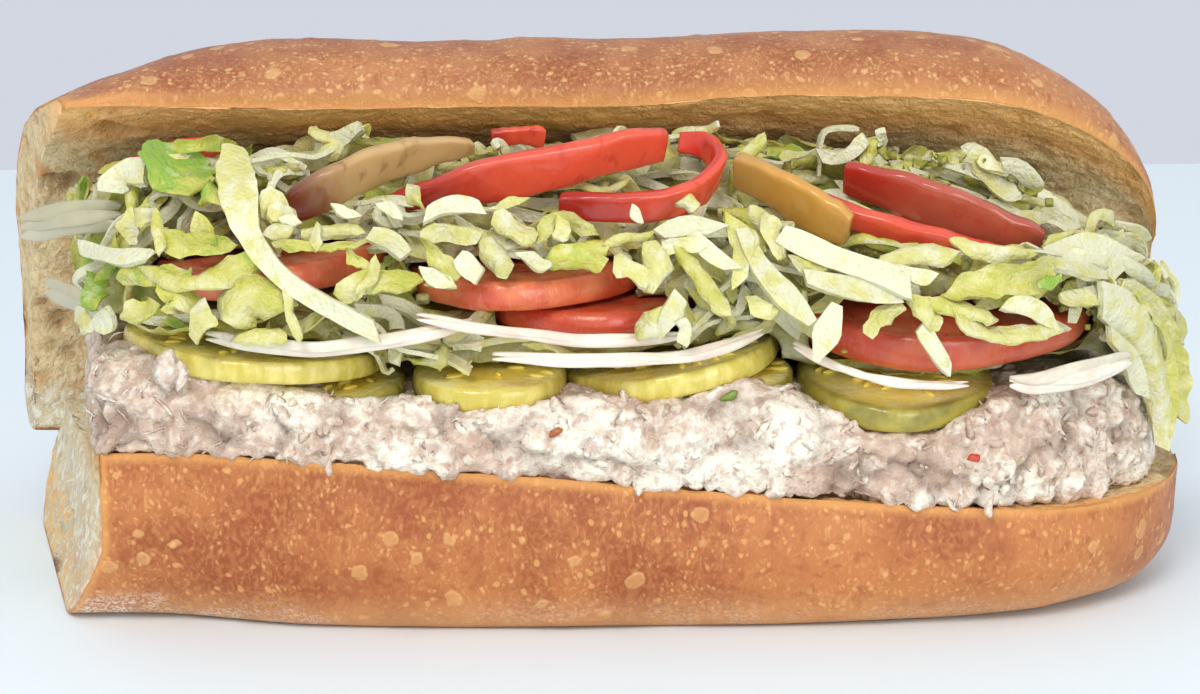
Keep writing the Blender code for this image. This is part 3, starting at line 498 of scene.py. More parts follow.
class Finish:
    """A material and the patterns that its colours are worked out from. Sizes are in millimetres."""

    def __init__(self, name, **fixed):
        self.material = bpy.data.materials.new(name)
        self.material.use_nodes = True
        self.tree = self.material.node_tree
        self.shader = self.tree.nodes["Principled BSDF"]
        self.place = add_node(self.tree, "ShaderNodeTexCoord", {}, {}, "Object")
        self.straight = self.place
        for key, value in fixed.items():
            self.shader.inputs[key.replace("_", " ")].default_value = value

    def scaled(self, size, stretch, seed):
        factors = tuple(1 / (MM * size * s) for s in stretch)
        moved = {0: self.place, 1: factors, 2: (seed, seed * 1.7, seed * 0.6)}
        return add_node(self.tree, "ShaderNodeVectorMath", {"operation": "MULTIPLY_ADD"}, moved)

    def noise(self, size, seed, detail=2.0, stretch=(1, 1, 1)):
        inputs = {"Vector": self.scaled(size, stretch, seed), "Scale": 1.0, "Detail": detail}
        return add_node(self.tree, "ShaderNodeTexNoise", {}, inputs)

    def spots(self, size, share, seed, stretch=(1, 1, 1)):
        """Distance to the middle of the nearest random cell, in cells, and 1 in that share of the cells."""
        inputs = {"Vector": self.scaled(size, stretch, seed), "Scale": 1.0}
        near = add_node(self.tree, "ShaderNodeTexVoronoi", {}, inputs)
        own = Field(self.tree, near.socket.node.outputs["Color"])
        red = add_node(self.tree, "ShaderNodeSeparateColor", {}, {0: own})
        return near + red * 0.25, red.step(share, share - 0.02)

    def warp(self, size, amount, seed):
        """Bends the patterns made from here on, by up to the given distance, so that none is regular."""
        inputs = {"Vector": self.scaled(size, (1, 1, 1), seed), "Scale": 1.0, "Detail": 2.0}
        push = add_node(self.tree, "ShaderNodeTexNoise", {}, inputs, "Color")
        scale = (amount * MM * 2,) * 3
        moved = {0: push, 1: scale, 2: self.straight}
        self.place = add_node(self.tree, "ShaderNodeVectorMath", {"operation": "MULTIPLY_ADD"}, moved)

    def value(self, name):
        return add_node(self.tree, "ShaderNodeAttribute", {"attribute_name": name}, {}, "Fac")

    def height(self):
        """Height above the floor, in millimetres."""
        return add_node(self.tree, "ShaderNodeSeparateXYZ", {}, {0: self.straight}, 2) / MM

    def along(self):
        """Place along the roll, in millimetres."""
        return add_node(self.tree, "ShaderNodeSeparateXYZ", {}, {0: self.straight}, 0) / MM

    def paint(self, **fields):
        for key, field in fields.items():
            self.tree.links.new(field.socket, self.shader.inputs[key.replace("_", " ")])

    def bump(self, field, depth, strength):
        inputs = {"Height": field, "Distance": depth * MM, "Strength": strength}
        self.paint(Normal=add_node(self.tree, "ShaderNodeBump", {}, inputs))


def crust_colour(f, dark, light, speck, on_top):
    """Baked crust with pale specks, blisters and flour. on_top is true for the upper half, whose specks crowd
    towards the lip."""
    edge = f.value("edge")
    cloud, patch = f.noise(30, 1.0, 4.0), f.noise(8, 4.0, 3.0)
    fine = f.noise(0.7, 9.0, 3.0, (1, 1, 1.6))
    crust = (cloud * 0.6 + patch * 0.4).step(0.36, 0.62).mix(dark, light)
    crust = (fine.step(0.42, 0.62) * 0.5).mix(crust, light)
    crust = (f.noise(2.2, 39.0, 3.0).step(0.52, 0.68) * 0.5).mix(crust, dark)
    thick = (patch + edge.step(14.0, 2.0) * 0.18) if on_top else patch
    small = f.noise(0.6, 11.0, 2.0, (1, 1, 1.8)).step(0.5, 0.68) * thick.step(0.34, 0.6)
    crust = (small * 0.35).mix(crust, speck)
    dot, some = f.spots(1.1, 0.6, 61.0, (1, 1, 1.4))
    crust = (dot.step(0.42, 0.2) * some * (thick.step(0.3, 0.6) * 0.45 + 0.2)).mix(crust, speck)
    middle, few = f.spots(2.0, 0.3, 3.0, (1.3, 1, 1) if on_top else (1, 1, 1.1))
    crust = (middle.step(0.34, 0.2) * few * 0.6).mix(crust, speck)
    wide, rare = f.spots(4.6, 0.2, 7.0)
    blister = wide.step(0.3, 0.24) * rare
    crust = (blister * 0.45).mix(crust, speck)
    crust = (wide.step(0.34, 0.3) * wide.step(0.22, 0.27) * rare * 0.4).mix(crust, seen(236, 186, 126))
    crust = (f.height().step(8.0, 0.0) * 0.55).mix(crust, seen(222, 168, 112))
    dust = f.noise(0.5, 13.0, 3.0).step(0.44, 0.6) * f.noise(14, 17.0, 3.0).step(0.38, 0.56)
    flour = dust * f.height().step(7.0, 1.0) * (f.along().step(-30.0, -75.0) * 0.75 + 0.25)
    crust = flour.mix(crust, seen(244, 232, 220))
    crust = (edge.step(3.6 if on_top else 2.0, 0.3) * 0.65).mix(crust, seen(226, 162, 90))
    return crust, blister * 0.35 + patch * 0.4 + small * 0.2, fine * 0.2 + flour * 0.3


def crumb_colour(f, glow):
    """Pale open crumb, with painted shade in its holes, wet at the left, and painted warm light under the
    lip, as much as its second argument asks.
    """
    edge, along, height = f.value("edge"), f.along(), f.height()
    inside = f.noise(6, 21.0, 3.0).step(0.3, 0.7).mix(seen(206, 176, 126), seen(230, 208, 160))
    inside = (f.noise(0.8, 25.0, 3.0).step(0.4, 0.65) * 0.45).mix(inside, seen(238, 222, 186))
    inside = (f.noise(1.5, 27.0, 3.0).step(0.48, 0.7) * 0.55).mix(inside, seen(172, 132, 86))
    # Painted shade: the holes are darkened by how deep they are.
    inside = (f.value("pit") * 0.85).mix(inside, seen(140, 96, 54))
    # Painted light: the crumb under the lip of the upper half faces down into shade, so it is painted warmer
    # and brighter.
    deep = along.step(-90.0, -82.0) * glow
    inside = (edge.step(24.0, 4.0) * deep).mix(inside, seen(252, 182, 108))
    lip = edge.step(4.6, 0.3) * along.step(-84.0, -80.0) + edge.step(1.2, 0.2) * along.step(-80.0, -84.0)
    inside = (lip * 0.85).mix(inside, seen(226, 152, 84))
    # More painted light, nearer the lip.
    inside = (edge.step(12.0, 2.0) * deep * 0.8).mix(inside, seen(255, 206, 138))
    stain = f.noise(9, 31.0, 2.0).step(0.56, 0.66) * along.step(-62.0, -76.0)
    inside = (stain * 0.6).mix(inside, seen(206, 140, 66))
    wet = along.step(-66.0, -80.0) * height.step(26.0, 18.0)
    inside = (wet * 0.45).mix(inside, seen(208, 208, 190))
    inside = (wet * f.noise(1.6, 35.0, 3.0).step(0.5, 0.62) * 0.7).mix(inside, seen(238, 238, 226))
    foot = along.step(-80.0, -86.0) * height.step(13.0, 8.0) * f.noise(4, 33.0, 2.0).step(0.4, 0.6)
    return (foot * 0.7).mix(inside, seen(240, 184, 96))


def bread_finish(name, dark, light, speck, on_top, glow):
    """Crust and crumb in one material, told apart by the value 'crumb'."""
    f = Finish(name, Specular_IOR_Level=0.35)
    f.warp(3.0, 0.9, 51.0)
    crumb = f.value("crumb")
    crust, raised, dull = crust_colour(f, dark, light, speck, on_top)
    f.paint(Base_Color=crumb.step(0.35, 0.65).mix(crust, crumb_colour(f, glow)))
    f.paint(Roughness=crumb * 0.3 + dull + 0.38)
    rough = f.noise(0.4, 41.0, 3.0) * 0.35 + f.noise(0.8, 43.0, 3.0) * crumb * 2.0
    f.bump(rough + raised, 0.4, 0.8)
    return f.material


def tuna_finish(name):
    """Flaked tuna in dressing, from pinkish grey to cream, by the value 'pale'."""
    f = Finish(name, Specular_IOR_Level=0.5)
    f.warp(2.0, 0.8, 3.0)
    pale, pit = f.value("pale"), f.value("pit")
    mottle = f.noise(1.4, 2.0, 4.0)
    colour = (pale * 0.6 + mottle * 1.2 - 0.4).step(0.1, 0.75).mix(seen(206, 180, 160), seen(250, 242, 226))
    colour = (f.noise(2.2, 6.0, 3.0).step(0.52, 0.66) * 0.6).mix(colour, seen(180, 148, 130))
    colour = (f.noise(0.7, 9.0, 2.0, (1, 1, 0.4)).step(0.6, 0.75) * 0.35).mix(colour, seen(166, 126, 102))
    # Painted shade in the cracks between the clumps.
    colour = (pit * 0.8).mix(colour, seen(126, 98, 82))
    f.paint(Base_Color=colour, Roughness=mottle * 0.3 + 0.3)
    f.bump(mottle + f.noise(0.5, 8.0, 3.0) * 0.7, 0.45, 0.9)
    return f.material


def lettuce_finish(name):
    """Iceberg lettuce, from white rib to green leaf, by the value 'green'."""
    f = Finish(name, Specular_IOR_Level=0.5, Coat_Weight=0.12)
    f.warp(3.0, 0.7, 5.0)
    green, across, shade = f.value("green"), f.value("across"), f.value("shade")
    tone = green + f.noise(2.6, 3.0, 4.0) * 1.1 - 0.58
    colour = tone.step(0.04, 0.32).mix(seen(225, 224, 192), seen(216, 211, 136))
    colour = tone.step(0.32, 0.66).mix(colour, seen(200, 198, 88))
    colour = tone.step(0.66, 1.0).mix(colour, seen(142, 180, 62))
    wave = (across * 6.0 + f.noise(4, 21.0, 2.0) * 7.0).math("SINE")
    streak, pale = wave.step(0.4, 1.0), wave.step(-0.4, -1.0)
    colour = (streak * 0.4).mix(colour, seen(180, 180, 84))
    colour = (pale * 0.4).mix(colour, seen(246, 242, 212))
    colour = (f.noise(3.5, 15.0, 2.0).step(0.52, 0.7) * 0.35).mix(colour, seen(246, 243, 204))
    middle = across.math("ABSOLUTE").step(0.3, 0.0) * green.step(0.8, 0.35)
    colour = (middle * 0.3).mix(colour, seen(242, 240, 206))
    colour = shade.mix(colour, seen(112, 104, 36))
    f.paint(Base_Color=colour, Roughness=f.noise(2.0, 7.0) * 0.2 + 0.26)
    f.bump(streak * 0.8 + f.noise(0.7, 9.0, 3.0) + f.noise(2.0, 19.0, 3.0), 0.45, 0.9)
    return f.material


def pickle_finish(name):
    """Pickled cucumber: olive skin at radius 1, and yellow-green flesh. 'tint' darkens a slice."""
    f = Finish(name, Specular_IOR_Level=0.6, Coat_Weight=0.25, Coat_Roughness=0.1)
    f.warp(3.0, 0.8, 2.0)
    radius, tint = f.value("radius"), f.value("tint")
    flesh = f.noise(4, 1.0, 3.0).step(0.35, 0.65).mix(seen(250, 232, 120), seen(255, 246, 168))
    flesh = (radius.step(0.75, 0.45) * 0.7).mix(flesh, seen(255, 226, 80))
    rim = f.noise(1.8, 4.0, 3.0, (1, 1, 4)).step(0.35, 0.65).mix(seen(206, 188, 78), seen(228, 212, 116))
    colour = radius.step(0.92, 0.98).mix(flesh, rim)
    dark = f.noise(5, 14.0, 3.0).step(0.3, 0.6).mix(seen(120, 112, 38), seen(170, 158, 62))
    colour = (tint * radius.step(0.8, 0.97)).mix(colour, dark)
    f.paint(Base_Color=colour, Roughness=f.noise(1.5, 6.0) * 0.2 + 0.16)
    f.bump(f.noise(1.2, 8.0, 3.0), 0.25, 0.6)
    return f.material


def tomato_finish(name):
    """Tomato slice: red skin round the rim and paler wet flesh. 'tint' darkens a slice."""
    f = Finish(name, Specular_IOR_Level=0.6, Coat_Weight=0.25, Coat_Roughness=0.14)
    f.warp(3.0, 0.8, 2.0)
    radius, tint = f.value("radius"), f.value("tint")
    flesh = f.noise(3.5, 2.0, 3.0).step(0.35, 0.65).mix(seen(214, 90, 56), seen(234, 136, 94))
    skin = f.noise(11, 5.0, 3.0).step(0.35, 0.68).mix(seen(200, 70, 42), seen(232, 132, 84))
    skin = (f.noise(0.7, 8.0, 2.0, (1, 1, 6)).step(0.5, 0.75) * 0.35).mix(skin, seen(242, 156, 108))
    colour = radius.step(0.92, 0.98).mix(flesh, skin)
    f.paint(Base_Color=tint.mix(colour, seen(186, 52, 30)), Roughness=f.noise(2, 7.0) * 0.2 + 0.2)
    f.bump(f.noise(0.9, 9.0, 3.0), 0.18, 0.6)
    return f.material


def onion_finish(name):
    """White onion with a breath of purple and fine lengthwise lines."""
    f = Finish(name, Specular_IOR_Level=0.5, Coat_Weight=0.2)
    tint = f.value("tint")
    colour = f.noise(5, 3.0, 2.0).step(0.35, 0.7).mix(seen(246, 240, 222), seen(236, 216, 200))
    colour = (f.noise(0.5, 11.0, 2.0, (12, 1, 1)).step(0.5, 0.7) * 0.5).mix(colour, seen(222, 200, 186))
    colour = tint.mix(colour, seen(196, 194, 164))
    f.paint(Base_Color=colour, Roughness=f.noise(1.5, 5.0) * 0.2 + 0.22, Alpha=1.0 - tint * 0.45)
    f.bump(f.noise(0.7, 7.0, 2.0, (6, 1, 1)), 0.15, 0.6)
    return f.material


def pepper_finish(name, outside, inside, spoiled):
    """Roasted pepper: glossy skin where 'skin' is 1, paler flesh, and one end of another colour."""
    f = Finish(name, Specular_IOR_Level=0.6, Coat_Weight=0.35, Coat_Roughness=0.12)
    f.warp(5.0, 1.5, 2.0)
    skin, end = f.value("skin"), f.value("end")
    colour = f.noise(7, 2.0, 3.0).step(0.35, 0.7).mix(outside, inside)
    colour = (skin.step(0.75, 0.3) * 0.8).mix(colour, inside)
    colour = (f.noise(3.2, 12.0, 3.0).step(0.5, 0.68) * 0.45).mix(colour, inside)
    colour = (f.noise(2.4, 16.0, 3.0, (1, 1, 2)).step(0.54, 0.7) * 0.4).mix(colour, spoiled)
    colour = end.step(0.55, 0.95).mix(colour, spoiled)
    f.paint(Base_Color=colour, Roughness=f.noise(2.5, 5.0, 3.0) * 0.25 + 0.1)
    f.bump(f.noise(3.4, 7.0, 2.0) + f.noise(0.7, 9.0, 2.0) * 0.15, 0.25, 0.6)
    return f.material


def plain_finish(name, colour, roughness):
    return Finish(name, Roughness=roughness, Base_Color=colour).material


# Roll

def slant(x, across, cut):
    """Moves points of the loft so that its left end lies on the slanting knife cut."""
    fade = np.clip((X_FADE - x) / (X_FADE - X_LEFT), 0, 1)
    return x + (lerp(*cut, np.clip(across, -0.2, 1.1)) - X_LEFT) * fade


def end_scale(x, start, end, power=2.0):
    """1 along the roll, falling to 0 round its right end."""
    u = np.clip((x - start) / (end - start), 0, 0.997)
    return (1 - u ** power) ** (1 / power)


def edge_height(x):
    return 22.7 + 4.9 * np.cos(math.pi * np.clip((x + 75) / 170, 0, 1))


def front_edge(x):
    return -38.0 + 4.5 * smooth((-x - 15) / 65)


def crumb_height(x, y):
    t = np.clip((Y_HINGE - y) / (Y_HINGE - front_edge(x)), 0, 1)
    return lerp(Z_HINGE, edge_height(x), t) - 1.2 * np.sin(math.pi * t)


def lower_section(x):
    edge, front = edge_height(x), front_edge(x)
    inset = 6.5 + 6.5 * smooth((-x - 45) / 35) + 8.0 * smooth((x - 20) / 60)
    turn = np.sin(np.linspace(0, math.pi / 2, 30))
    z = edge * (1 - turn ** 0.85)
    y = front + inset * (1 - np.sqrt(1 - turn ** 2) ** 0.7) - 1.8 * np.sin(math.pi * z / edge)
    crust = np.vstack([np.stack([y, z], 1), curve(LOW_BACK, 24)])
    back = crust[-1]
    across = np.linspace(front, Y_HINGE, 40)
    crumb = np.vstack([np.stack([across, crumb_height(x, across)], 1), back])
    crust, crumb = spaced(crust, RING_POINTS, 1.15), spaced(crumb, RING_POINTS, 1.5)
    ring = np.vstack([crust, crumb[1:-1][::-1]])
    y, z = ring.T
    wide = end_scale(x, X_ROUND_LOW, X_END_LOW)
    deep = end_scale(x, X_ROUND_LOW, X_END_LOW, 3.6)
    torn = FOOT_REACH * np.clip(1 - z / FOOT_HEIGHT, 0, 1) * smooth((X_LEFT + 14 - x) / 14)
    at = slant(x, (Y_HINGE - y) / HALF_WIDTH, CUT_LOW) - torn
    wave = 0.5 * grain(np.stack([at, y, z], 1), 17.0) * smooth(z)
    height = LOW_CORE[1] + (z - LOW_CORE[1]) * np.where(z < LOW_CORE[1], deep, 1.0)
    return np.stack([at, LOW_CORE[0] + (y - LOW_CORE[0]) * wide - wave, height], 1)


def upper_section(x):
    rise = 1 - (1 - np.clip((x - X_LEFT) / 38.0, 0, 1)) ** 2
    crust = curve(lerp(np.array(UP_CRUST_CUT, float), np.array(UP_CRUST, float), rise), 120)
    crumb = curve(UP_CRUMB, 90)
    ring = np.vstack([spaced(crust, RING_POINTS, 1.25), spaced(crumb, RING_POINTS, 1.5)[1:-1][::-1]])
    y, z = ring.T
    z = z + 1.2 * smooth((x + 5) / 30) * smooth((z - 60) / 20)
    at = slant(x, (Y_HINGE - y) / (Y_HINGE - UP_CRUST[0][0]), CUT_UP)
    swell = 0.7 * grain(np.stack([at, y, z], 1), 21.0, np.array([5.0, 0, 0])) * (z > 30)
    k = end_scale(x, X_ROUND_UP, X_END_UP)
    return np.stack([at, UP_CORE[0] + (y - UP_CORE[0]) * k, UP_CORE[1] + (z - UP_CORE[1]) * k + swell], 1)


def shut_end(pile, ring, start, rows, crumb):
    """Rows of quads across an end of the loft, from the crust of its ring to the crumb."""
    sides, count = len(ring), RING_POINTS
    far = [0] + list(range(sides - 1, count - 1, -1)) + [count - 1]
    outer, inner = ring[1:count - 1], ring[far[1:-1]]
    row = [start + i for i in range(count)]
    for r in range(1, rows + 1):
        if r < rows:
            t = r / rows
            first = pile.count
            pile.add(lerp(outer, inner, t), [], crumb=crumb, edge=np.linalg.norm(outer - inner, axis=1) * t)
            onward = [start] + list(range(first, first + count - 2)) + [start + count - 1]
        else:
            onward = [start + i for i in far]
        for i in range(count - 1):
            pile.faces.append(list(dict.fromkeys((row[i], row[i + 1], onward[i + 1], onward[i]))))
        row = onward


def half_roll(name, section, end, finish):
    """One half of the roll: rings of crust and crumb, and the open cut at the left end."""
    turn = np.linspace(0, 1, 64)[1:]
    stations = list(np.arange(X_LEFT, end - CLOSING, STATION)) + list(end - CLOSING * (1 - turn) ** 2)
    rings = [section(x) for x in stations]
    sides = len(rings[0])
    run = run_along(rings[TYPICAL_RING])
    from_lip = np.minimum(run, run[-1] - run)
    crumb = (np.arange(sides) >= RING_POINTS).astype(float)
    crumb[0] = 0.5
    edges = [np.where(crumb > 0.6, from_lip, np.minimum(from_lip, i * STATION)) for i in range(len(rings))]
    pile = Pile()
    pile.add(np.vstack(rings), quads(len(rings), sides), crumb=np.tile(crumb, len(rings)),
             edge=np.concatenate(edges))
    shut_end(pile, rings[0], 0, CUT_ROWS, 1.0)
    shut_end(pile, rings[-1], (len(rings) - 1) * sides, TIP_ROWS, 0.0)
    made = pile.show(name, finish, "bread", ["roll"])
    relief(made, roll_relief)


def crust_relief(places, low_fade):
    """Soft lumps, with low round blisters here and there."""
    blister = holes(places, 4.2, 2.0, 0.35, 0.36)
    lumps = 0.35 * grain(places, 13.0, 7.0) + 0.16 * grain(places, 5.0, 3.0) + 0.05 * grain(places, 1.8, 5.0)
    return (lumps + 0.16 * blister) * low_fade


def crumb_relief(places, open_share):
    """Torn crumb: round holes of three sizes, and ragged walls between them; and how much painted shade each
    hole gets.
    """
    small = holes(places, 1.9, 11.0, 0.5, 0.44)
    middle = holes(places, 3.8, 15.0, 0.34, 0.46)
    large = holes(places, 7.5, 19.0, 0.3, 0.5)
    depth = 0.45 * small + 1.1 * middle * open_share + 2.4 * large * open_share
    ragged = 0.35 * grain(places, 2.2, 21.0) + 0.5 * grain(places, 6.0, 23.0)
    ragged = ragged + 0.18 * grain(places, 1.0, 27.0)
    return ragged - depth, np.clip(0.3 * small + 0.55 * middle * open_share + 0.9 * large * open_share, 0, 1)


def roll_relief(places, normals, mesh):
    crumb = stored(mesh, "crumb")
    cut = smooth((-normals[:, 0] - 0.4) / 0.3)
    torn = np.maximum(cut, smooth((-52 - places[:, 0]) / 16))
    flattened = places * np.stack([np.ones(len(cut)), lerp(1.0, 0.36, cut), np.ones(len(cut))], 1)
    ragged, pit = crumb_relief(flattened, 0.35 + 0.65 * torn)
    ragged = ragged * smooth((X_END_LOW - 1 - places[:, 0]) / 4)
    low_fade = smooth((places[:, 2] - 0.3) / 1.5)
    edge = smooth(stored(mesh, "edge") / 1.2)
    shift = np.where(crumb > 0.6, ragged * (0.25 + 0.75 * edge), crust_relief(places, low_fade))
    # The stored value is the painted shade in the holes of the crumb; the crust gets none.
    return shift, {"pit": np.where(crumb > 0.6, pit, 0.0)}


# Tuna salad

def tuna_relief(places, normals, mesh):
    """Clumps of flakes with cracks between them, which are darkened with painted shade."""
    moved = shaken(places, 4.0, 2.0)
    near, own = cells(moved, 5.2, 4.0)
    close, small = cells(moved, 2.3, 9.0)
    clump = np.clip(0.75 - near, -0.4, 0.65) * 2.7 + (own - 0.5) * 1.6
    lump = np.clip(0.6 - close, -0.3, 0.5) * 1.4 + (small - 0.5) * 0.6
    strands = 0.4 * np.abs(grain(moved, (2.4, 2.4, 1.0), 6.0)) + 0.25 * grain(moved, (1.6, 1.6, 0.8), 8.0)
    face = smooth((0.75 - normals[:, 2]) / 0.4) * smooth((-10 - places[:, 1]) / 10)
    under = smooth((places[:, 2] - crumb_height(places[:, 0], places[:, 1]) + 1.0) / 2.0)
    shift = (clump + lump - 0.35 + strands) * (0.35 + 0.65 * face) * under
    pale = np.clip(0.5 + 0.9 * grain(places, 11.0, 31.0) + 0.4 * (own - 0.5) + 0.3 * (small - 0.5), 0, 1)
    pale = pale * (1 - 0.75 * smooth((-46 - places[:, 0]) / 14))
    # Painted shade in the cracks between the clumps, a little less where the tuna is pale.
    pit = np.clip((near - 0.55) * 2.8, 0, 1) * (1 - 0.4 * pale) + 0.35 * np.clip((close - 0.6) * 3, 0, 1)
    return shift, {"pale": pale, "pit": np.clip(pit, 0, 1)}


def flake(start, along, out, long, wide, thick, bend):
    """A shred of tuna: a bent spindle of four-sided rings."""
    side = np.cross(along, out)
    points = []
    for t in np.linspace(-1, 1, 6):
        swell = math.sqrt(max(1 - t * t, 0.04))
        middle = start + along * t * long / 2 + out * bend * (1 - t * t) + side * bend * t
        points += [middle + side * wide / 2 * swell, middle + out * thick / 2 * swell,
                   middle - side * wide / 2 * swell, middle - out * thick / 2 * swell]
    return np.array(points), tube(6, 4)


def surface_points(obj, count, draw, wanted):
    """Seeded points spread over a piece, with their normals, where wanted() says yes."""
    mesh = obj.data
    areas = np.empty(len(mesh.polygons))
    mesh.polygons.foreach_get("area", areas)
    picks = draw.choices(range(len(areas)), weights=areas.tolist(), k=count)
    found = []
    for pick in picks:
        face = mesh.polygons[pick]
        place, normal = np.array(face.center) / MM, np.array(face.normal)
        if wanted(place, normal):
            found.append((place, normal))
    return found


def unit(v):
    return v / max(np.linalg.norm(v), 1e-9)


def add_flakes(pile, mass, draw):
    """Small flakes all over the front of the mass, long and thin in the fibrous part at the left."""
    for place, normal in surface_points(mass, FLAKES, draw, lambda p, n: p[1] < -14 and n[2] > -0.7):
        fibrous = smooth((-45 - place[0]) / 20)
        ragged = draw.random() < 0.1 + 0.75 * fibrous
        tangent = unit(np.cross(normal, [draw.gauss(0, 1) for _ in range(3)]))
        along = unit(tangent + normal * (draw.uniform(0.0, 0.6) if ragged else draw.uniform(-0.2, 0.2)))
        out = unit(normal - along * np.dot(normal, along))
        long, wide, sunk = draw.uniform(1.6, 3.6), draw.uniform(1.0, 2.4), -0.35
        if ragged:
            long, wide, sunk = draw.uniform(1.4, 3.4 + 2.0 * fibrous), draw.uniform(0.28, 0.6), 0.05
        thick = min(wide * 0.45, 0.9)
        points, faces = flake(place + normal * sunk, along, out, long, wide, thick, draw.gauss(0, 0.3))
        pale = np.clip(0.4 + 0.9 * grain([place], 11.0, 31.0)[0] + draw.gauss(0.0, 0.14), 0, 1)
        pile.add(shaken(points, 1.0, 0.4), faces, pale=pale * (1 - 0.5 * fibrous), pit=0.0)


def add_standing_flakes(pile):
    up, out = np.array([0, 0.1, 1.0]), np.array([0, -1.0, 0])
    for x, y, z, long, wide in STANDING_FLAKES:
        points, faces = flake(np.array([x, y, z]), up, out, long, wide, 1.4, 0.2)
        pile.add(shaken(points, 2.2, 0.9), faces, pale=0.3, pit=0.0)


def make_flecks(mass):
    """The coloured bits in the tuna, each a piece of its own."""
    along = np.array([0.8, 0, 0.6])
    surface = tree_of([mass])
    for name, x, z, long, colour in FLECKS:
        place, normal, _, _ = surface.find_nearest(Vector((x, -45, z)))
        points, faces = flake(np.array(place), along, np.array(normal), long, 1.6, 0.9, 0.3)
        fleck = Pile()
        fleck.add(shaken(points, 1.2, 0.4), faces)
        fleck.show(name, plain_finish(name + "_finish", seen(*colour), 0.3), "tuna", ["tuna_salad"])


def make_tuna(node, finish):
    mass = remeshed(node, "tuna_mass", TUNA_MESH)
    dress(mass, finish, ["tuna_salad"])
    relief(mass, tuna_relief)
    pile = Pile()
    add_flakes(pile, mass, random.Random(5))
    add_standing_flakes(pile)
    pile.show("tuna_flakes", finish, "tuna", ["tuna_salad"])
    make_flecks(mass)


# Slices

def placed(centre, pitch, roll):
    return (Matrix.Translation(centre) @ Matrix.Rotation(math.radians(-roll), 4, "Y")
            @ Matrix.Rotation(math.radians(pitch), 4, "X"))


def make_slice(entry, rim_round):
    """A round slice: rings from the middle of its top, over the rim, to the middle of its underside."""
    name, centre, half_x, half_y, thick, pitch, roll = entry
    half, sides = thick / 2, SLICE_SIDES
    wobble = len(name) + centre[0]
    shrink = rim_round / half_x
    inner = [0.03, 0.15, 0.3, 0.45, 0.58, 0.7, 0.8, 0.88]
    profile = [(r * (1 - shrink), half) for r in inner]
    for t in np.linspace(math.pi / 2, -math.pi / 2, 15):
        out = max(math.cos(t), 0.0) ** 0.7
        profile.append((1 - shrink * (1 - out), half * math.sin(t)))
    profile += [(r * (1 - shrink), -half) for r in inner[::-1]]
    a = np.linspace(0, 2 * math.pi, sides, endpoint=False)
    r = 1 + 0.025 * np.sin(3 * a + wobble) + 0.015 * np.sin(5 * a + 2 * wobble)
    rings = [np.stack([half_x * r * k * np.cos(a), half_y * r * k * np.sin(a), np.full(sides, z)], 1)
             for k, z in profile]
    local = np.vstack(rings)
    radius = np.repeat([k for k, _ in profile], sides)
    matrix = np.array(placed(centre, pitch, roll))
    points = local @ matrix[:3, :3].T + matrix[:3, 3]
    ragged = grain(points, 3.0, 3.0) * 0.16 + grain(points, 8.0, 5.0) * 0.3
    points = points + matrix[:3, 2] * (ragged * np.sign(local[:, 2]))[:, None] * 0.5
    pile = Pile()
    pile.add(points, tube(len(profile), sides), radius=radius, tint=DARK_SLICES.get(name, 0.0))
    return pile, matrix


def add_seeds(pile, entry, matrix, draw):
    """Flat seeds in the top of a pickle slice."""
    _, _, half_x, half_y, thick, _, _ = entry
    for _ in range(int(half_x * half_y / 9)):
        a, k = draw.uniform(0, 2 * math.pi), draw.uniform(0.3, 0.8)
        turn = a + draw.gauss(0, 0.3)
        local = np.array([half_x * k * math.cos(a), half_y * k * math.sin(a), thick / 2 + 0.02])
        along = np.array([math.cos(turn), math.sin(turn), draw.gauss(0, 0.08)])
        points, faces = flake(local, unit(along), np.array([0, 0, 1.0]), 3.0, 1.3, 0.7, 0.05)
        pile.add(points @ matrix[:3, :3].T + matrix[:3, 3], faces, radius=0.5)


# Strips

def headings(path):
    """The way along a strip at each point of its path."""
    along = np.gradient(path, axis=0)
    return along / np.linalg.norm(along, axis=1)[:, None]


def strip_frames(path, lean):
    """At each point of a strip, the way up its face and the way out of it."""
    along = headings(path)
    ups, outs = [], []
    for tangent, turn in zip(along, np.broadcast_to(lean, len(path))):
        up = np.array(Matrix.Rotation(math.radians(turn), 3, Vector(tangent)) @ Vector((0, 0, 1)))
        up = unit(up - tangent * np.dot(up, tangent))
        ups.append(up)
        outs.append(np.cross(tangent, up))
    return np.array(ups), np.array(outs)


def squared(wave, corner):
    """A sine or cosine with fuller corners, for corner under 1."""
    return np.sign(wave) * np.abs(wave) ** corner


def strip_mesh(path, height, thick, lean, sides, corner):
    """A strip with rounded corners. height holds a number for each point of the path."""
    ups, outs = strip_frames(path, lean)
    a = np.linspace(0, 2 * math.pi, sides, endpoint=False)
    tall, deep = squared(np.cos(a), corner), squared(np.sin(a), corner)
    count = len(path)
    rings = [path[i] + ups[i] * (tall * height[i] / 2)[:, None] + outs[i] * (deep * thick / 2)[:, None]
             for i in range(count)]
    along = np.repeat(np.linspace(0, 1, count), sides)
    return np.vstack(rings), tube(count, sides), np.tile(deep, count), along


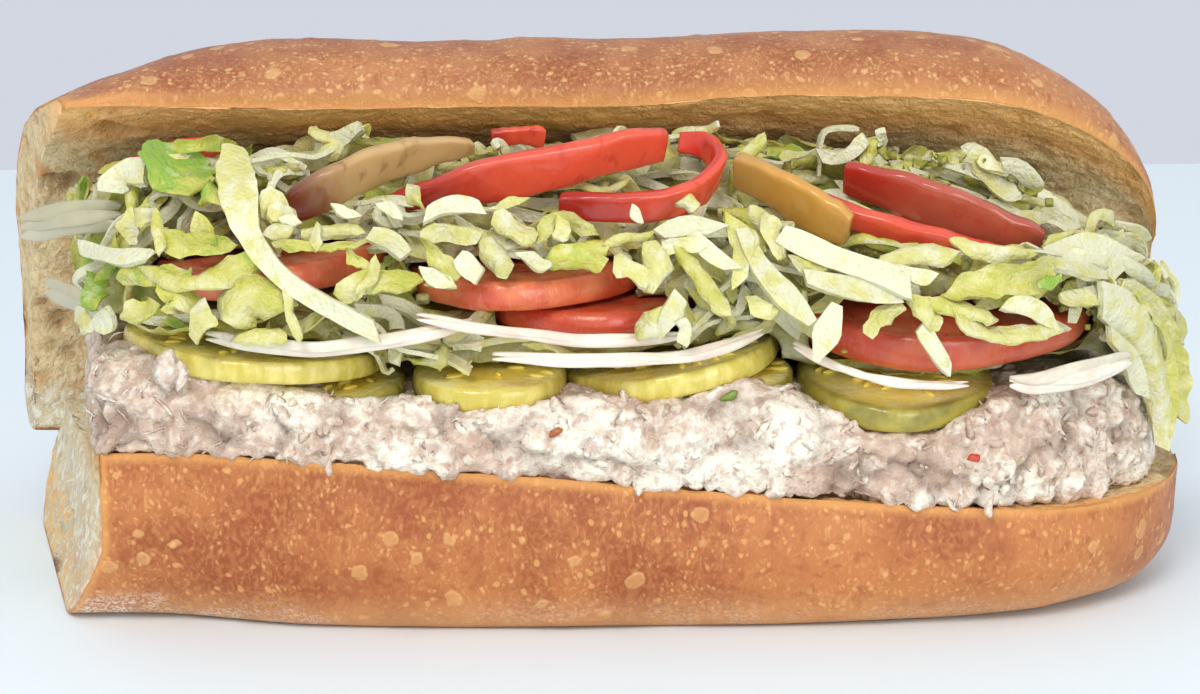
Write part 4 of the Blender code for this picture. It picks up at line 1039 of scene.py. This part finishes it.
def make_pepper(entry, finish):
    name, points, height, thick, lean = entry
    path = curve(points, PEPPER_RINGS)
    t = np.linspace(0, 1, PEPPER_RINGS)
    at_left, at_right = NARROW_ENDS.get(name, (0.0, 0.0))
    taper = 1 - 0.2 * np.abs(2 * t - 1) ** 10
    taper = taper - at_left * smooth(1 - t / 0.35) - at_right * smooth((t - 0.55) / 0.45)
    wave = 1 + 0.08 * np.sin(7 * t + len(name) + points[0][0]) + 0.03 * np.sin(31 * t)
    mesh, faces, side, along = strip_mesh(path, height * wave * taper, thick, lean, PEPPER_SIDES, 0.42)
    mesh = shaken(shaken(mesh, 5.0, 0.3), 1.4, 0.04, (4.0, 5.0, 6.0))
    pile = Pile()
    pile.add(mesh, faces, skin=smooth((-side + 0.3) / 0.6), end=1 - along)
    pile.show(name + "_strip", finish, name.rsplit("_", 1)[0], [name])


def make_onion(entry, finish):
    """An onion slice falls into two or three strands that lie together."""
    name, points, height, thick = entry
    pile = Pile()
    pale = name in PALE_ONIONS
    strands = 3 if height > 4 else 2
    draw = random.Random(len(points) + int(height * 10))
    t = np.linspace(0, 1, ONION_RINGS)
    for k in range(strands):
        place = (k + 0.5) / strands - 0.5
        path = curve(points, ONION_RINGS)
        path[:, 2] += place * height * (0.9 if pale else 0.6 + 0.35 * np.sin(5 * t + k * 2.1))
        path[:, 1] += 0.25 * np.sin(6 * t + k * 1.7) + draw.uniform(-0.2, 0.2)
        path[:, 2] += (0.1 if pale else 0.5) * grain(path, 8.0, 3.0 * k) * np.sin(math.pi * t)
        tall = height / strands * (1.5 - 1.25 * np.abs(2 * t - 1) ** 5) * (1 + 0.08 * np.sin(9 * t + k * 2))
        lean = 25 * np.sin(3 * t + k * 2.4)
        mesh, faces, _, _ = strip_mesh(path, tall, thick * 0.75, lean, ONION_SIDES, 0.75)
        pile.add(mesh, faces, tint=0.7 + 0.1 * k if pale else 0.15 * k)
    pile.show(name + "_strands", finish, "onion", [name])


# Lettuce

def core_relief(places, normals, mesh):
    """Folds of the heap under the shreds, dark so that it reads as the shade between them."""
    folds = 0.9 * grain(places, (9, 5, 3.2), 2.0) + 0.6 * np.abs(grain(places, 3.0, 6.0))
    folds = folds + 0.3 * grain(places, 1.6, 9.0)
    green = np.clip(0.5 + 0.7 * grain(places, 6, 4.0), 0, 1)
    deep = np.clip(0.6 - 0.5 * folds, 0.3, 0.9)
    return folds - 1.3, {"green": green, "across": np.ones(len(places)), "shade": deep}


def spread(value, count):
    """A number, or numbers along a shred, at count places."""
    value = np.atleast_1d(value)
    return np.interp(np.linspace(0, 1, count), np.linspace(0, 1, len(value)), value)


def sheet_faces(rows, columns):
    """Faces of a thin sheet: a grid, the same grid behind it, and the border between them."""
    half = rows * columns
    face = quads(rows, columns, False)
    right = [r * columns + columns - 1 for r in range(1, rows)]
    far = [(rows - 1) * columns + c for c in range(columns - 2, -1, -1)]
    left = [r * columns for r in range(rows - 2, 0, -1)]
    border = list(range(columns)) + right + far + left
    sides = [(a, b, half + b, half + a) for a, b in zip(border, border[1:] + border[:1])]
    return [f[::-1] for f in face] + [tuple(half + v for v in f) for f in face] + sides


def shred_mesh(points, width, green, twist, draw):
    """A thin wavy shred, cut off slantwise at its ends: a thick stiff rib where green is low, and elsewhere a
    crinkled leaf."""
    length = float(np.sum(np.linalg.norm(np.diff(np.array(points, float), axis=0), axis=1)))
    count = int(np.clip(length / 1.15, 8, 36))
    path, green, wide = curve(points, count), spread(green, count), spread(width, count)
    leafy = smooth((green - 0.12) / 0.3)
    t = np.linspace(0, 1, count)
    phase, broad = draw.uniform(0, 6), wide.max()
    swing = draw.uniform(8, 24) + 34 * leafy.mean() * draw.uniform(0.3, 1.0) * min(4 / broad, 1)
    lean = twist + swing * np.sin(phase + 3.3 * t * draw.uniform(0.6, 1.6))
    ups, outs = facing_frames(path, lean)
    columns = 5 if broad < 3 else 7
    cup = draw.uniform(-1.0, 1.0) * (0.35 + leafy)
    fold = draw.uniform(-0.5, 0.5)
    across = np.linspace(-1, 1, columns)
    slants = [draw.uniform(-1, 1) * min(end / length, 0.4) for end in (wide[0], wide[-1])]
    narrow = 0.2 + 0.35 * leafy
    wide = wide * (1 + 0.12 * np.sin(draw.uniform(4, 9) * t + phase)) * (1 - narrow * np.abs(2 * t - 1) ** 6)
    wide = wide * (1 + 0.3 * leafy * grain(path, 2.6, phase))
    drift = draw.uniform(-0.3, 0.3)
    half_thick = ((1.1 - 0.65 * leafy) * min(broad / 3, 1) / 2)[:, None]
    fronts, backs = [], []
    for v in across:
        at = lerp(slants[0] * v / 2 + abs(slants[0]) / 2, 1 + slants[1] * v / 2 - abs(slants[1]) / 2, t)
        whole = [np.interp(at, t, values) for values in (*path.T, *ups.T, *outs.T)]
        middle, up, out = (np.stack(whole[k:k + 3], 1) for k in (0, 3, 6))
        reach = v * wide / 2 * (1 + (0.06 + 0.28 * leafy) * grain(middle + v, 1.8, phase))
        away = cup * (v * v - 0.4) * wide / 4 - np.abs(v - fold) * leafy * wide * 0.12
        place = middle + up * reach[:, None]
        away = away + (0.15 + 0.75 * leafy) * (0.3 + 0.7 * abs(v)) * grain(place, 2.3, phase)
        away = away + 0.3 * leafy * grain(place, 1.1, phase + 3)
        line = place + out * away[:, None]
        fronts.append(line + out * half_thick)
        backs.append(line - out * half_thick)
    sheet = np.vstack([np.stack(fronts, 1).reshape(-1, 3), np.stack(backs, 1).reshape(-1, 3)])
    tone = np.repeat(green * (1 + drift * (2 * t - 1)), columns) + drift * 0.4 * np.tile(across, count)
    values = {"green": np.tile(np.clip(tone, 0, 1.3), 2), "across": np.tile(across, 2 * count)}
    return sheet, sheet_faces(count, columns), values


def facing_frames(path, lean):
    """As strip_frames, for strips whose face looks at the open front until lean turns it."""
    along = headings(path)
    out = FACING - along * (along @ FACING)[:, None]
    out /= np.linalg.norm(out, axis=1)[:, None]
    turn = np.radians(lean)[:, None]
    out = np.cos(turn) * out + np.sin(turn) * np.cross(along, out)
    return np.cross(out, along), out


def heap_front(x, z):
    """The y of the front of the lettuce at a place. It falls back near both ends of the roll."""
    y = np.interp(z, FRONT_HEIGHTS, FRONT_REACH)
    return y + 0.013 * max(x - 45, 0) ** 2 + 0.05 * max(-60 - x, 0) ** 2


def tree_of(objects):
    """A search tree, in millimetres, of the faces of several objects."""
    bm = bmesh.new()
    for obj in objects:
        bm.from_mesh(obj.data)
    bmesh.ops.transform(bm, matrix=Matrix.Scale(1 / MM, 4), verts=bm.verts)
    tree = BVHTree.FromBMesh(bm)
    bm.free()
    return tree


def walk(tree, place, heading, length, lift, draw):
    """Points of a shred that starts at a place on the heap and follows its surface."""
    points, here = [], Vector(place)
    steps = max(int(length / 4), 2)
    for i in range(steps + 1):
        near, normal, _, _ = tree.find_nearest(here)
        points.append(tuple(near + normal * (lift + draw.uniform(-0.6, 0.9))))
        heading = (heading - normal * heading.dot(normal)).normalized()
        heading = Matrix.Rotation(draw.gauss(0, 0.22), 3, normal) @ heading
        here = near + heading * length / steps
    return points


def add_front_shreds(pile, draw):
    for points, width, green, lift, twist in FRONT_SHREDS:
        route = [(x, heap_front(x, z) - lift, z) for x, z in points]
        mesh, faces, values = shred_mesh(route, np.array(width) * NARROWER, green, twist, draw)
        pile.add(mesh, faces, shade=draw.uniform(0, 0.16), **values)


def add_loose_shreds(pile, nodes, draw):
    """Random shreds all over the heap, left out where they would cross a topping, the tuna or the bread."""
    heap = nodes["lettuce_shreds"]
    surface = tree_of([heap])
    kinds = ("pickle", "tomato", "onion", "pepper_red", "pepper_yellow")
    toppings = tree_of([node for name, node in nodes.items() if name.rsplit("_", 1)[0] in kinds])
    around = tree_of([nodes["roll"], nodes["tuna_salad"]])
    spots = surface_points(heap, SPOTS, draw, lambda p, n: n[2] > -0.6 and n[1] < 0.7 and p[2] > 40)
    kept, strands = 0, 0
    for place, normal in spots:
        if kept >= SHREDS:
            break
        heading = Vector((draw.gauss(0, 1.0), draw.gauss(0, 0.35), draw.gauss(0, 0.55)))
        rib = draw.random() < 0.5
        strand = strands < STRANDS and place[1] < -16
        length = draw.uniform(9, 24) if strand else draw.uniform(4, 17)
        width = draw.uniform(1.2, 2.6) if rib else draw.uniform(1.6, 3.0 if strand else 4.2)
        green = draw.uniform(0.0, 0.16) if rib else np.clip(draw.gauss(0.42, 0.16), 0.2, 1)
        green = green + (0 if rib else 0.4) * smooth((-48 - place[0]) / 12) * draw.random()
        lift = draw.uniform(0.2, 2.4) if strand else draw.uniform(-0.8, 1.6)
        points = walk(surface, place, heading, length, lift, draw)
        mesh, faces, values = shred_mesh(points, width, green, draw.uniform(-70, 70), draw)
        tree = BVHTree.FromPolygons(mesh.tolist(), faces)
        if tree.overlap(toppings) or tree.overlap(around):
            continue
        kept, strands = kept + 1, strands + strand
        pile.add(mesh, faces, shade=draw.uniform(0, 0.22), **values)


def make_lettuce(nodes, finish):
    core = remeshed(nodes["lettuce_shreds"], "lettuce_core", CORE_MESH)
    dress(core, finish, ["lettuce_shreds"])
    relief(core, core_relief)
    draw = random.Random(23)
    pile = Pile()
    add_front_shreds(pile, draw)
    add_loose_shreds(pile, nodes, draw)
    pile.show("lettuce_leaves", finish, "lettuce", ["lettuce_shreds"], 60)


# Stage

def stage_panel(name, corners, finish):
    mesh = bpy.data.meshes.new(name)
    mesh.from_pydata(corners, [], [(0, 1, 2, 3)])
    mesh.materials.append(finish)
    panel = bpy.data.objects.new(name, mesh)
    bpy.context.scene.collection.objects.link(panel)


def make_stage():
    """A near-white floor that ends behind the sandwich, and a pale blue-grey backdrop."""
    floor = plain_finish("floor_white", (0.83, 0.93, 1.0, 1), 0.6)
    left, right = -FLOOR_SIDE, FLOOR_SIDE
    corners = [(left, FLOOR_NEAR, 0), (right, FLOOR_NEAR, 0), (right, FLOOR_FAR, 0), (left, FLOOR_FAR, 0)]
    stage_panel("floor", corners, floor)
    backdrop = Finish("backdrop_grey", Roughness=1.0, Base_Color=(0, 0, 0, 1), Emission_Strength=1.0,
                      Emission_Color=seen(208, 213, 224)).material
    ends = [(-BACKDROP_SIDE, BACKDROP_LOW), (BACKDROP_SIDE, BACKDROP_LOW), (BACKDROP_SIDE, BACKDROP_HIGH),
            (-BACKDROP_SIDE, BACKDROP_HIGH)]
    stage_panel("backdrop", [(x, BACKDROP_Y, z) for x, z in ends], backdrop)


def make_light(name, place, size, power, colour):
    light = bpy.data.lights.new(name, "AREA")
    light.shape, light.size, light.energy, light.color = "DISK", size, power, colour
    made = bpy.data.objects.new(name, light)
    made.location = place
    made.rotation_euler = (Vector(LIT_PLACE) - Vector(place)).to_track_quat("-Z", "Y").to_euler()
    bpy.context.scene.collection.objects.link(made)


def make_world():
    world = bpy.data.worlds.new("studio")
    world.use_nodes = True
    background = world.node_tree.nodes["Background"]
    background.inputs["Color"].default_value = WORLD_COLOUR
    background.inputs["Strength"].default_value = WORLD_STRENGTH
    bpy.context.scene.world = world


def make_camera():
    data = bpy.data.cameras.new("camera")
    data.lens, data.sensor_width, data.shift_y = LENS, 36.0, SHIFT_Y
    data.clip_start, data.clip_end = 0.01, 20.0
    made = bpy.data.objects.new("camera", data)
    a, e = math.radians(AZIMUTH), math.radians(ELEVATION)
    back = Vector((math.sin(a) * math.cos(e), -math.cos(a) * math.cos(e), math.sin(e)))
    made.location = (Vector(LOOK_AT) + back * DISTANCE) * MM
    made.rotation_euler = back.to_track_quat("Z", "Y").to_euler()
    bpy.context.scene.collection.objects.link(made)
    bpy.context.scene.camera = made


# The sandwich

def make_bread():
    low_tones = seen(152, 80, 42), seen(192, 122, 70), seen(228, 172, 108)
    high_tones = seen(152, 86, 52), seen(188, 126, 82), seen(232, 188, 128)
    # The last number of each is how much painted light warms the crumb under the lip.
    half_roll("roll_lower", lower_section, X_END_LOW, bread_finish("crust_lower", *low_tones, False, 0.1))
    half_roll("roll_upper", upper_section, X_END_UP, bread_finish("crust_upper", *high_tones, True, 0.95))


def make_slices():
    finishes = {"pickle": pickle_finish("pickle_wet"), "tomato": tomato_finish("tomato_wet")}
    seed = plain_finish("pickle_seed", seen(255, 232, 100), 0.25)
    draw = random.Random(9)
    for entry in SLICES:
        name = entry[0]
        kind = name.split("_")[0]
        pile, matrix = make_slice(entry, RIM_ROUND[kind])
        pile.show(name + "_slice", finishes[kind], kind, [name], 50)
        if kind == "pickle":
            seeds = Pile()
            add_seeds(seeds, entry, matrix, draw)
            seeds.show(name + "_seeds", seed, "pickle", [name])


def make_strips():
    onion = onion_finish("onion_white")
    for entry in ONIONS:
        make_onion(entry, onion)
    red = pepper_finish("pepper_red_skin", seen(198, 40, 28), seen(230, 88, 60), seen(168, 34, 26))
    brick = pepper_finish("pepper_brick_skin", seen(136, 42, 32), seen(188, 90, 66), seen(176, 48, 34))
    olive = pepper_finish("pepper_olive_skin", seen(180, 142, 84), seen(204, 168, 112), seen(106, 38, 8))
    amber = pepper_finish("pepper_amber_skin", seen(184, 128, 44), seen(212, 156, 72), seen(190, 146, 74))
    special = {"pepper_red_4": brick, "pepper_yellow_1": olive, "pepper_yellow_2": amber}
    for entry in PEPPERS:
        make_pepper(entry, special.get(entry[0], red))


def main():
    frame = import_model()
    nodes = frame["nodes"]
    make_bread()
    make_tuna(nodes["tuna_salad"], tuna_finish("tuna_salad_flaked"))
    make_slices()
    make_strips()
    make_lettuce(nodes, lettuce_finish("lettuce_leaf"))
    make_stage()
    make_world()
    for name, values in LIGHTS.items():
        make_light(name, *values)
    make_camera()
    bpy.context.scene.view_settings.view_transform = "Standard"


main()
